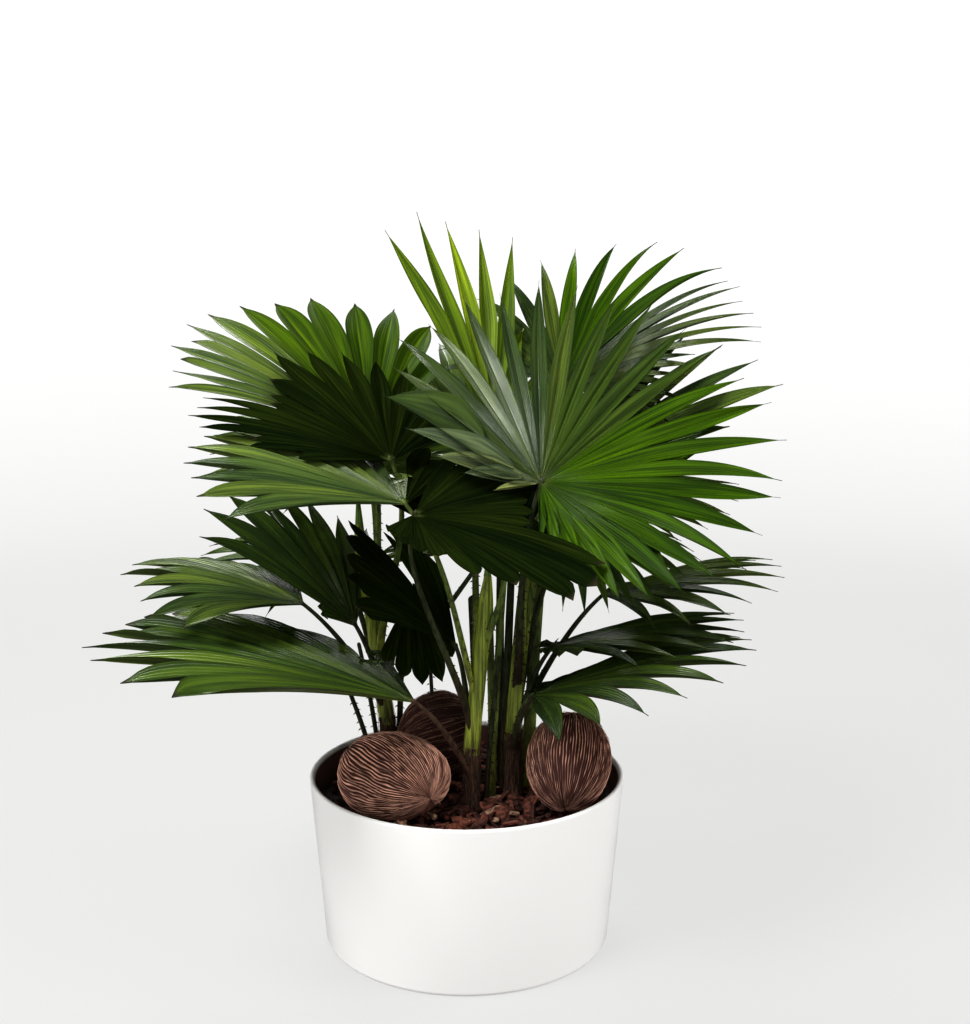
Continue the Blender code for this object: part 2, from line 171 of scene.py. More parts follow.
def blend(tree, factor, first, second, mode="MIX"):
    """Two colours mixed by a factor."""
    node = add_node(tree, "ShaderNodeMix", {"Factor": factor}, data_type="RGBA", blend_type=mode)
    for socket, value in ((node.inputs[6], first), (node.inputs[7], second)):
        if isinstance(value, bpy.types.NodeSocket):
            tree.links.new(value, socket)
        else:
            socket.default_value = (*value, 1.0)
    return node.outputs[2]


def calculate(tree, operation, first, second=0.0):
    """A sum, product or the like of two values."""
    node = add_node(tree, "ShaderNodeMath", {0: first, 1: second}, operation=operation)
    return node.outputs[0]


def raise_surface(tree, shader, height, distance):
    """Relief in the shader's normal from a height in 0 to 1."""
    bump = add_node(tree, "ShaderNodeBump", {"Height": height, "Distance": distance})
    tree.links.new(bump.outputs["Normal"], shader.inputs["Normal"])


def pot_profile():
    """The cup's outline from the underside's middle round the foot, over the lip and down the
    inside: arcs at the foot and the lip, straight in between."""
    foot = np.radians(np.linspace(-90, 0, FOOT_STEPS))
    lip = np.radians(np.linspace(0, 180, LIP_STEPS))
    slope = (pot_rim_radius - POT_FOOT_RADIUS) / pot_height
    foot_middle = POT_FOOT_RADIUS + slope * POT_FOOT_ROUND - POT_FOOT_ROUND
    half = POT_WALL / 2
    outline = [(0.002, 0.0), (foot_middle * 0.6, 0.0)]
    outline += [(foot_middle + POT_FOOT_ROUND * math.cos(a),
                 POT_FOOT_ROUND + POT_FOOT_ROUND * math.sin(a)) for a in foot]
    outline += [(pot_rim_radius - half + half * math.cos(a),
                 pot_height - half + half * math.sin(a)) for a in lip]
    floor_radius = POT_FOOT_RADIUS + slope * POT_FLOOR - POT_WALL
    return outline + [(floor_radius, POT_FLOOR), (0.002, POT_FLOOR)]


def pot_finish():
    """White satin plastic: a faint mottle in the gloss, thin level scuffs below the lip, and dark
    brown inside, up to a ragged line near the lip."""
    material, tree, shader = start_material("pot_white_satin", POT_WHITE, 0.35)
    shader.inputs["Specular IOR Level"].default_value = POT_REFLECTANCE
    cloudy = mottle(tree, 14.0, 4.0)
    height = add_node(tree, "ShaderNodeSeparateXYZ", {"Vector": place(tree)}).outputs["Z"]
    near_lip = ramp(tree, height, pot_height - SCUFFS_FROM, pot_height - SCUFFS_TO)
    scuffs = ramp(tree, mottle(tree, 1.0, 2.0, (22, 22, 420)), 0.70, 0.76)
    scuffed = calculate(tree, "MULTIPLY", calculate(tree, "MULTIPLY", scuffs, near_lip), 0.55)
    line = calculate(tree, "ADD", height, calculate(tree, "MULTIPLY", cloudy, INSIDE_EDGE_RAGGED))
    inside_brown = calculate(tree, "MULTIPLY", read_mark(tree, "inside"),
                      ramp(tree, line, pot_height, pot_height - INSIDE_EDGE_FADE))
    colour = blend(tree, scuffed, POT_WHITE, POT_SCUFF)
    tree.links.new(blend(tree, inside_brown, colour, POT_INSIDE_BROWN), shader.inputs["Base Color"])
    tree.links.new(ramp(tree, cloudy, 0.35, 0.65, 0.30, 0.42), shader.inputs["Roughness"])
    raise_surface(tree, shader, mottle(tree, 900.0, 1.0), 0.00003)
    return material


outline = pot_profile()
inside = np.repeat(np.arange(len(outline)) > LIP_STEPS + FOOT_STEPS, POT_SIDES)
put_piece("pot_shell", [skin_rings(turn_profile(outline, POT_SIDES))], pot_finish(),
          ["pot"], {"inside": np.append(inside, [False, True])}, crease=50)

# Mulch
# Bark fills the pot to a little below its rim. Dark red-brown chips lie loose on each other,
# with a few freshly broken pale ones between them.
MULCH_SINK = 0.004          # how far the bed lies below the solid's top, for the chips
BED_RELIEF = 0.0022
CHIP_COUNT = 900
CHIP_LENGTH = (0.008, 0.026)
CHIP_KINDS = {
    # share, colour
    "dark": (0.46, (0.068, 0.020, 0.011)),
    "red": (0.51, (0.150, 0.046, 0.026)),
    "pale": (0.03, (0.42, 0.26, 0.17)),
}
mulch_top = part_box("mulch")[1][2]
mulch_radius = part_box("mulch")[1][0]


def lumps(u, v, seed):
    """Value noise from -1 to 1: random heights at the whole steps of u and v, with a smooth
    blend between them. It repeats after 64 steps."""
    table = np.random.default_rng(seed).uniform(-1, 1, (64, 64))
    i = np.floor(u).astype(int)
    j = np.floor(v).astype(int)
    du = u - i
    dv = v - j
    du = du * du * (3 - 2 * du)
    dv = dv * dv * (3 - 2 * dv)
    low = table[i % 64, j % 64] * (1 - du) + table[(i + 1) % 64, j % 64] * du
    high = table[i % 64, (j + 1) % 64] * (1 - du) + table[(i + 1) % 64, (j + 1) % 64] * du
    return low * (1 - dv) + high * dv


def bark_finish(name, colour):
    """Dull bark: darker and lighter fibres along each chip's own bumps."""
    material, tree, shader = start_material(name, colour, 0.8)
    grain = mottle(tree, 260.0, 5.0)
    dark = tuple(0.45 * c for c in colour)
    light = tuple(1.5 * c + 0.01 for c in colour)
    shade = ramp(tree, grain, 0.3, 0.7)
    tree.links.new(blend(tree, shade, dark, light), shader.inputs["Base Color"])
    raise_surface(tree, shader, grain, 0.0006)
    return material


def mulch_bed():
    """The filling as a closed solid whose top has lumps of 3 and of 9 mm."""
    sides = 144
    radii = np.concatenate([np.linspace(0.002, 0.99, 60), [1.0]]) * mulch_radius
    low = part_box("mulch")[0][2]
    slope = (pot_rim_radius - POT_FOOT_RADIUS) / pot_height
    floor_radius = mulch_radius - slope * (mulch_top - low)
    top = turn_profile([(r, mulch_top - MULCH_SINK) for r in radii], sides)
    relief = lumps(top[..., 0] / 0.009, top[..., 1] / 0.009, 3)
    relief = relief + 0.5 * lumps(top[..., 0] / 0.003, top[..., 1] / 0.003, 4)
    relief[-1] = 0
    top[..., 2] += BED_RELIEF * relief
    below = turn_profile([(0.002, low), (0.6 * floor_radius, low), (floor_radius, low)], sides)
    return skin_rings(np.concatenate([below, top[::-1]]))


def bark_chip(rng, x, y, z):
    """A split chip: a six-cornered slab, narrower at its ends, of uneven thickness."""
    length = rng.uniform(*CHIP_LENGTH)
    width = length * rng.uniform(0.32, 0.62)
    thick = length * rng.uniform(0.10, 0.22)
    along = np.array([-0.5, -0.18, 0.22, 0.5, 0.2, -0.2]) + rng.uniform(-0.06, 0.06, 6)
    across = np.array([-0.15, -0.5, -0.45, 0.12, 0.5, 0.46]) + rng.uniform(-0.12, 0.12, 6)
    outline = np.column_stack([length * along, width * across, rng.uniform(-0.4, 0.4, 6) * thick])
    rings = np.stack([0.82 * outline - (0, 0, thick / 2), outline,
                      0.86 * outline + (0, 0, thick / 2)])
    turn = rng.uniform(0, 2 * math.pi)
    lean = rng.normal(0, 0.32)
    roll = rng.normal(0, 0.30)
    ahead = np.array([math.cos(turn) * math.cos(lean), math.sin(turn) * math.cos(lean),
                      math.sin(lean)])
    level = np.array([-math.sin(turn), math.cos(turn), 0.0])
    side = math.cos(roll) * level + math.sin(roll) * np.cross(ahead, level)
    return skin_rings(rings @ np.vstack([ahead, side, np.cross(ahead, side)]) + (x, y, z))


def scatter_chips():
    """Chips spread evenly over the bed, dealt out to the kinds by their shares."""
    rng = np.random.default_rng(11)
    piles = {kind: [] for kind in CHIP_KINDS}
    shares = [share for share, _ in CHIP_KINDS.values()]
    for _ in range(CHIP_COUNT):
        radius = (mulch_radius - 0.010) * math.sqrt(rng.uniform(0, 1))
        turn = rng.uniform(0, 2 * math.pi)
        rise = rng.uniform(-0.002, 0.0035)
        chip = bark_chip(rng, radius * math.cos(turn), radius * math.sin(turn),
                         mulch_top - MULCH_SINK + 0.002 + rise)
        piles[rng.choice(list(CHIP_KINDS), p=shares)].append(chip)
    return piles


put_piece("mulch_bed", [mulch_bed()], bark_finish("mulch_earth", (0.048, 0.016, 0.009)),
          ["mulch"])
for kind, chips in scatter_chips().items():
    put_piece("bark_chips_" + kind, chips, bark_finish("bark_" + kind, CHIP_KINDS[kind][1]),
              crease=20)

# Seed husks
# Three dried fruits, egg-shaped, each wrapped in coarse fibres that run from pole to pole.
# The fibres stand out as wavy tan ridges over a dark reddish brown core.
HUSK_HALF_LENGTH = 0.049
HUSK_HALF_WIDTH = 0.0375
HUSK_BLUNTNESS = 0.92
HUSK_LOPSIDED = 0.07
HUSK_RIDGES = 92
HUSK_RELIEF = 0.0015
HUSK_GRID = (110, 736)      # rings from pole to pole, corners round each
HUSK_THREADS = 90
HUSK_CORE = (0.062, 0.018, 0.012)
HUSK_TAN = (0.86, 0.49, 0.36)
HUSKS = {
    # azimuth and tilt in degrees of the long axis, and of the pole that the fibres start from,
    # and how much of the tan fibre is left on the crests; the back husk's low share is partly painted
    # shade
    "left": (8, -6, -38, -16, 0.68),
    "right": (262, -22, 262, -34, 0.50),
    "back": (85, 8, 200, -10, 0.30),
}


def husk_axes(turn, lean):
    """The side, second side and axis of a husk, as rows, from the axis's azimuth and tilt."""
    turn, lean = math.radians(turn), math.radians(lean)
    axis = np.array([math.cos(lean) * math.cos(turn), math.cos(lean) * math.sin(turn),
                     math.sin(lean)])
    side = np.array([-math.sin(turn), math.cos(turn), 0.0])
    return np.vstack([side, np.cross(axis, side), axis])


def husk_reach(name, way):
    """How far the egg's skin lies from its middle along unit directions: the distance to the
    turned outline, read at the direction's angle from the long axis."""
    steps = np.linspace(0, math.pi, 200)
    along = -HUSK_HALF_LENGTH * np.cos(steps)
    radius = HUSK_HALF_WIDTH * np.sin(steps) ** HUSK_BLUNTNESS
    radius = radius * (1 + HUSK_LOPSIDED * np.cos(steps))
    off = np.arctan2(radius, along)[::-1]
    far = np.hypot(radius, along)[::-1]
    return np.interp(np.arccos(np.clip(way @ husk_axes(*HUSKS[name][:2])[2], -1, 1)), off, far)


def husk_surface(name, angle, pole_angle, seed):
    """Points and ridge heights at angles round the fibres' axis and angles from their pole.
    The ridges are sharp-topped waves that wander sideways on their way from pole to pole."""
    wander = 1.1 * lumps(angle * 2.6, pole_angle * 1.9, seed)
    wander = wander + 0.65 * lumps(angle * 8.0, pole_angle * 4.5, seed + 1)
    wander = wander * np.sin(pole_angle) ** 0.7 * np.sin(angle / 2) ** 2
    ridge = 1 - np.abs(np.sin(HUSK_RIDGES / 2 * angle + wander * 2.3))
    ridge = ridge ** 0.75 * (0.66 + 0.34 * lumps(angle * 20.0, pole_angle * 6.0, seed + 2))
    flat = np.broadcast_to(np.cos(pole_angle), ridge.shape)
    way = np.stack([np.cos(angle) * np.sin(pole_angle), np.sin(angle) * np.sin(pole_angle), flat],
                   axis=-1) @ husk_axes(*HUSKS[name][2:4])
    sink = HUSK_RELIEF * (ridge - 1) * np.sin(pole_angle) ** 0.5
    return way * (husk_reach(name, way) + sink)[..., None], ridge


def husk_middle(name):
    """The middle of the husk's solid."""
    low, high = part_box("husk_" + name)
    return (np.array(low) + np.array(high)) / 2


def husk_mesh(name, seed):
    """The husk as rings from the far pole to the fibres' pole."""
    pole_angle = np.linspace(math.pi - 0.02, 0.02, HUSK_GRID[0])[:, None]
    angle = (np.arange(HUSK_GRID[1]) * 2 * math.pi / HUSK_GRID[1])[None, :]
    rings, ridge = husk_surface(name, angle, pole_angle, seed)
    crest = np.append(ridge.ravel(), [0.3, 0.3]) + HUSKS[name][4] - 0.5
    return skin_rings(rings + husk_middle(name)), crest


def husk_finish():
    """Tan crests over a reddish brown core, with the fibre's colour broken up along it."""
    material, tree, shader = start_material("husk_fibres", HUSK_CORE, 0.72)
    tan = blend(tree, mottle(tree, 75.0, 4.0), tuple(0.35 * c for c in HUSK_TAN),
                tuple(1.25 * c for c in HUSK_TAN))
    crest = ramp(tree, read_mark(tree, "crest"), 0.36, 0.82)
    tree.links.new(blend(tree, crest, HUSK_CORE, tan), shader.inputs["Base Color"])
    raise_surface(tree, shader, mottle(tree, 700.0, 3.0), 0.0003)
    return material


husk_look = husk_finish()
for seed, name in enumerate(HUSKS):
    husk_skin, husk_crests = husk_mesh(name, 40 + 5 * seed)
    put_piece("husk_shell_" + name, [husk_skin], husk_look, ["husk_" + name],
              {"crest": husk_crests})


def follow(path, radii, sides, seam, squash=1.0):
    """Rings round a path. Each lies square to the path and starts at the seam direction;
    squash flattens it across that direction."""
    path = np.asarray(path, float)
    tangent = np.gradient(path, axis=0)
    tangent /= np.linalg.norm(tangent, axis=1, keepdims=True)
    second = np.cross(tangent, seam)
    second /= np.linalg.norm(second, axis=1, keepdims=True)
    first = np.cross(second, tangent)
    angle = np.arange(sides) * 2 * math.pi / sides
    if np.ndim(radii) < 2:
        radii = np.broadcast_to(radii, (len(path),))[:, None]
    ring = (np.cos(angle)[None, :, None] * first[:, None]
            + squash * np.sin(angle)[None, :, None] * second[:, None])
    return path[:, None] + ring * radii[..., None]


def husk_threads(name, seed):
    """Loose fibres that lie on the ridges, as thin three-sided threads along the husk."""
    rng = np.random.default_rng(seed)
    threads = []
    for _ in range(HUSK_THREADS):
        start = rng.uniform(0.10, 2.2)
        end = min(start + rng.uniform(0.5, 1.5), math.pi - 0.12)
        pole_angle = np.linspace(start, end, 18)
        angle = rng.uniform(0, 2 * math.pi)
        angle = angle + 0.08 * lumps(pole_angle * 2.0, np.full(18, start), seed + 9)
        line, _ = husk_surface(name, angle, pole_angle, seed)
        arch = 0.0004 + 0.0007 * np.sin(np.linspace(0, math.pi, 18))
        line = line * (1 + arch / np.linalg.norm(line, axis=1))[:, None]
        width = 0.00024 * np.sin(np.linspace(0.25, math.pi - 0.25, 18))
        threads.append(skin_rings(follow(line, width, 3, (0.2, 0.3, 0.93)) + husk_middle(name)))
    return threads


def streaked_finish(name, light, dark, across, along, roughness, relief):
    """A plant fibre's finish: streaks of a dark and a light colour along Z."""
    material, tree, shader = start_material(name, light, roughness)
    streaks = add_node(tree, "ShaderNodeTexNoise", {
        "Vector": place(tree, (across, across, along)), "Scale": 1.0, "Detail": 5.0,
        "Roughness": 0.65})
    shade = ramp(tree, streaks.outputs["Fac"], 0.36, 0.62)
    tree.links.new(blend(tree, shade, dark, light), shader.inputs["Base Color"])
    raise_surface(tree, shader, streaks.outputs["Fac"], relief)
    return material


thread_look = streaked_finish("husk_thread_tan", (0.50, 0.29, 0.19), (0.24, 0.12, 0.08),
                              300, 300, 0.7, 0.0001)
for seed, name in enumerate(HUSKS):
    put_piece("husk_threads_" + name, husk_threads(name, 40 + 5 * seed), thread_look,
              crease=80)

# Stems
# Three short stems grow from one root. Brown fibre wraps the foot of each; above it the
# overlapping bases of the petioles form a yellow-green sheath, and an unopened leaf, folded
# like a closed fan, stands in its middle.
TRUNK_RADIUS = 0.0064
TRUNK_TOP_RADIUS = 0.0070
TRUNK_FLARE = 1.25
TRUNK_HAIRS = 90
SHEATH_TOP_RADIUS = 0.0066
SHEATH_COLLAR = 0.020        # how far the sheath closes round the spear above its top
SPEAR_TIP_RADIUS = 0.0008
STEMS = {
    # foot (x, y), sheath foot z, sheath top (x, y, z), spear tip (x, y, z)
    "centre": ((0.004, -0.026), 0.178, (0.017, -0.030, 0.315), (0.019, -0.030, 0.350)),
    "right": ((0.041, 0.000), 0.182, (0.054, 0.006, 0.335), (0.054, 0.016, 0.380)),
    "left": ((-0.074, 0.054), 0.180, (-0.096, 0.056, 0.345), (-0.099, 0.062, 0.392)),
}
TRUNK_LIGHT = (0.17, 0.095, 0.055)
TRUNK_DARK = (0.035, 0.016, 0.010)
SHEATH_GREEN = (0.34, 0.40, 0.055)
SHEATH_DARK = (0.105, 0.130, 0.025)
SPEAR_GREEN = (0.17, 0.28, 0.04)
SPEAR_DARK = (0.06, 0.12, 0.015)


def stem_axis(name, z):
    """The stem's middle at heights: straight up the trunk, then along the sheath's lean."""
    (x, y), fork, (tx, ty, tz), _ = STEMS[name]
    share = np.maximum(0.0, (np.asarray(z, float) - fork) / (tz - fork))
    return np.stack([x + (tx - x) * share, y + (ty - y) * share, np.asarray(z, float)], axis=-1)


def trunk_rings(name, seed):
    """A flared foot wrapped in upright fibre: ridges round it that wander as they rise."""
    z = np.linspace(mulch_top - 0.006, STEMS[name][1] + 0.004, 60)
    share = np.clip((z - mulch_top) / (STEMS[name][1] - mulch_top), 0, 1)
    radius = TRUNK_RADIUS + (TRUNK_TOP_RADIUS - TRUNK_RADIUS) * share
    radius = radius * (1 + (TRUNK_FLARE - 1) * (1 - np.clip(share * 4, 0, 1)) ** 2)
    angle = np.arange(96) * 2 * math.pi / 96
    wander = lumps(angle[None, :] * 2, z[:, None] * 90, seed) * np.sin(angle / 2) ** 2
    ridge = np.abs(np.sin(11 * angle[None, :] + 1.2 * wander))
    relief = 0.0011 * ridge + 0.0007 * lumps(angle[None, :] * 6, z[:, None] * 260, seed + 1)
    return follow(stem_axis(name, z), radius[:, None] + relief - 0.0006, 96, (1.0, 0.0, 0.0))


def stem_fibres(name, seed):
    """Loose hairs of old sheath that stand off the trunk and cross each other."""
    rng = np.random.default_rng(seed)
    hairs = []
    for _ in range(TRUNK_HAIRS):
        foot = rng.uniform(mulch_top, STEMS[name][1] + 0.006)
        z = np.linspace(foot, foot + rng.uniform(0.010, 0.028), 9)
        turn = rng.uniform(0, 2 * math.pi) + rng.normal(0, 0.35) * np.linspace(0, 1, 9)
        off = TRUNK_TOP_RADIUS + 0.0012 + rng.uniform(0, 0.0022) * np.linspace(0, 1, 9) ** 2
        off = off + (TRUNK_RADIUS - TRUNK_TOP_RADIUS) * np.clip(
            (STEMS[name][1] - z) / (STEMS[name][1] - mulch_top), 0, 1)
        line = stem_axis(name, z) + np.column_stack([
            off * np.cos(turn), off * np.sin(turn), np.zeros(9)])
        width = 0.00028 * np.linspace(1, 0.25, 9)
        hairs.append(skin_rings(follow(line, width, 3, (1.0, 0.1, 0.0))))
    return hairs


def sheath_rings(name, seed):
    """Overlapping petiole bases: a round section with three lapped folds that turn slowly as
    they rise, and close round the spear one after the other at the top."""
    fork, top = STEMS[name][1], STEMS[name][2]
    z = np.linspace(fork - 0.003, top[2] + SHEATH_COLLAR, 84)
    share = np.clip((z - fork) / (top[2] - fork), 0, 1)
    radius = TRUNK_TOP_RADIUS + (SHEATH_TOP_RADIUS - TRUNK_TOP_RADIUS) * share
    angle = np.arange(72) * 2 * math.pi / 72
    turned = angle[None, :] * 3 / (2 * math.pi) + 0.5 * share[:, None] + 0.13 * seed
    lap = turned % 1.0
    fold = np.where(lap < 0.86, lap / 0.86, (1 - lap) / 0.14)
    fine = np.abs(np.sin(17 * angle))[None, :]
    closed = np.clip((z[:, None] - top[2] + 0.8 * SHEATH_COLLAR * lap) / SHEATH_COLLAR / 1.4, 0, 1)
    section = (1 + 0.13 * (fold - 0.6) + 0.018 * fine) * (1 - 0.62 * closed ** 1.3)
    return follow(stem_axis(name, z), radius[:, None] * section, 72, (1.0, 0.0, 0.0))


def spear_rings(name):
    """The unopened leaf: a slim cone with eleven tight pleats."""
    top, tip = np.array(STEMS[name][2]), np.array(STEMS[name][3])
    share = np.linspace(0, 1, 40)
    path = top - (0, 0, 0.02) + (tip - top + (0, 0, 0.02)) * share[:, None]
    radius = 0.8 * SHEATH_TOP_RADIUS * (1 - share) ** 0.8 + SPEAR_TIP_RADIUS
    angle = np.arange(66) * 2 * math.pi / 66
    pleat = 1 + 0.10 * np.cos(11 * angle)[None, :]
    return follow(path, radius[:, None] * pleat, 66, (1.0, 0.0, 0.0))


trunk_look = streaked_finish("trunk_fibre_brown", TRUNK_LIGHT, TRUNK_DARK, 700, 60, 0.85, 0.0008)
sheath_look = streaked_finish("sheath_yellow_green", SHEATH_GREEN, SHEATH_DARK,
                              420, 14, 0.42, 0.0002)
spear_look = streaked_finish("spear_pale_green", SPEAR_GREEN, SPEAR_DARK, 500, 18, 0.40, 0.0002)
for seed, name in enumerate(STEMS):
    put_piece("trunk_wrap_" + name, [skin_rings(trunk_rings(name, 60 + seed))], trunk_look,
              ["trunk_" + name])
    put_piece("trunk_hairs_" + name, stem_fibres(name, 70 + seed), trunk_look)
    put_piece("sheath_folds_" + name, [skin_rings(sheath_rings(name, seed))], sheath_look,
              ["sheath_" + name], crease=75)
    put_piece("spear_leaf_" + name, [skin_rings(spear_rings(name))], spear_look,
              ["spear_" + name])

# Petioles
# Each frond hangs on one tapering stalk, round below and hollowed above, that widens where it
# clasps the stem, and stalks without a blade stand among them. Both upper edges of each carry
# small dark thorns that hook back towards the stem.
BARE_STALKS = (
    # foot (x, y), top (x, y, z), radii at both ends, look; the photograph hides their tops, so
    # that they carry no blades is a guess
    ((0.022, -0.008), (0.033, -0.010, 0.335), (0.0036, 0.0028), "young"),
    ((0.034, 0.012), (0.040, 0.014, 0.330), (0.0044, 0.0032), "old"),
    ((0.017, -0.018), (0.029, -0.018, 0.262), (0.0024, 0.0018), "old"),
    ((0.055, 0.018), (0.067, 0.030, 0.325), (0.0062, 0.0044), "young"),
    ((0.030, 0.036), (0.031, 0.046, 0.330), (0.0046, 0.0034), "old"),
    ((0.024, 0.021), (0.020, 0.024, 0.310), (0.0040, 0.0030), "young"),
    ((0.010, 0.032), (0.004, 0.044, 0.300), (0.0036, 0.0026), "old"),
    ((-0.030, 0.062), (-0.037, 0.064, 0.285), (0.0020, 0.0015), "old"),
    ((-0.085, 0.045), (-0.116, 0.036, 0.235), (0.0026, 0.0018), "old"),
    ((-0.082, 0.068), (-0.101, 0.070, 0.250), (0.0024, 0.0018), "old"),
    ((-0.064, 0.060), (-0.058, 0.072, 0.290), (0.0030, 0.0022), "old"),
)
FULL_SPREAD = math.radians(155)
BASAL_SHORTER = 0.80
BASAL_FREER = 0.65
CUP = math.radians(8)
CURVE_STEPS = 24
PETIOLE_RADIUS = 0.0036
PETIOLE_TIP_RADIUS = 0.0019
PETIOLE_LIFT = 0.25
PETIOLE_FAN_SHARE = 0.35
PETIOLE_LEADS = (0.35, 0.30)
DRY_PETIOLES = ("08",)
PETIOLE_LOOKS = {
    # colour at the foot, streaks' light and dark colour further out
    "young": ((0.26, 0.30, 0.045), (0.15, 0.20, 0.045), (0.065, 0.095, 0.025)),
    "old": ((0.060, 0.038, 0.022), (0.060, 0.074, 0.030), (0.026, 0.030, 0.015)),
    "dry": ((0.120, 0.062, 0.040), (0.115, 0.068, 0.044), (0.050, 0.030, 0.020)),
}
YOUNG_FOOT = 0.225          # petioles that leave the stem above this height are the young ones
THORN_BROWN = (0.060, 0.032, 0.018)
THORN_BLACK = (0.016, 0.009, 0.006)
FRONDS = (
    # name, stem, height of the petiole's foot, hub (x, y, z), azimuth and rise of the middle
    # leaflet, roll of the face to the right, reach, spread left, spread right, leaflets,
    # split, fold, droop; 18 to 22 are guessed, at the back that the photograph hides
    ("01", "right", 0.215, (0.062, -0.055, 0.420), 42, 33, 34, 0.222, 150, 150, 31, 0.50, 0, 0.20),
    ("03", "right", 0.255, (0.088, 0.080, 0.490), 40, 42, 12, 0.197, 100, 100, 18, 0.60, 0, 0.50),
    ("04", "centre", 0.268, (0.025, 0.055, 0.450), 140, 60, -5, 0.215, 20, 90, 10, 0.57, 0, 0.15),
    ("05", "left", 0.250, (-0.085, 0.050, 0.442), 130, 36, -5, 0.203, 62, 62, 11, 0.72, -5, 0.40),
    ("02", "right", 0.232, (0.088, -0.005, 0.415), 5, 22, 35, 0.205, 70, 80, 14, 0.58, 0, 0.25),
    ("07", "centre", 0.226, (-0.050, -0.065, 0.404), 180, 12, -10, 0.190, 50, 120, 15, 0.68, 0, 0.30),
    ("23", "centre", 0.194, (-0.042, -0.083, 0.398), -19, -14, 18, 0.168, 100, 46, 13, 0.85, 0, 0.35),
    ("06", "left", 0.235, (-0.064, -0.015, 0.433), 178, 12, -27, 0.176, 32, 135, 15, 0.66, 0, 0.30),
    ("08", "centre", 0.152, (-0.043, -0.075, 0.238), 181, 12, 4, 0.275, 48, 72, 12, 0.74, 0, 0.34),
    ("09", "right", 0.165, (0.055, -0.050, 0.235), 8, 15, -14, 0.205, 85, 95, 16, 0.60, 8, 0.50),
    ("10", "left", 0.190, (-0.143, 0.000, 0.304), 178, 14, 0, 0.162, 60, 75, 12, 0.70, 5, 0.50),
    ("11", "left", 0.208, (-0.100, 0.032, 0.276), 156, 40, -5, 0.178, 55, 60, 10, 0.70, 5, 0.40),
    ("12", "right", 0.188, (0.125, 0.050, 0.300), 4, 11, -8, 0.172, 75, 85, 14, 0.55, 10, 0.45),
    ("13", "centre", 0.180, (-0.009, -0.002, 0.265), 170, 46, -2, 0.152, 55, 60, 10, 0.84, 5, 0.25),
    ("14", "centre", 0.254, (0.032, -0.046, 0.352), 150, 34, -20, 0.140, 40, 110, 13, 0.74, 0, 0.30),
    ("15", "right", 0.178, (0.076, -0.004, 0.266), 10, 6, -12, 0.180, 95, 80, 15, 0.66, 8, 0.35),
    ("16", "right", 0.205, (0.095, 0.020, 0.360), -15, -5, 15, 0.120, 90, 90, 15, 0.60, 10, 0.80),
    ("17", "left", 0.200, (-0.050, 0.040, 0.305), 280, -50, 0, 0.095, 30, 30, 5, 0.70, 0, 0.30),
    ("18", "centre", 0.235, (0.005, 0.130, 0.430), 95, 30, 0, 0.190, 120, 120, 20, 0.62, 0, 0.50),
    ("19", "right", 0.205, (0.100, 0.140, 0.370), 50, 15, 0, 0.180, 115, 100, 18, 0.62, 5, 0.50),
    ("20", "left", 0.230, (-0.095, 0.150, 0.400), 120, 25, 0, 0.180, 115, 115, 19, 0.62, 5, 0.50),
    ("21", "left", 0.195, (0.020, 0.155, 0.320), 85, 5, 0, 0.165, 95, 95, 16, 0.62, 10, 0.60),
    ("22", "left", 0.200, (-0.125, 0.130, 0.310), 150, 8, 0, 0.150, 95, 95, 16, 0.62, 10, 0.60),
)


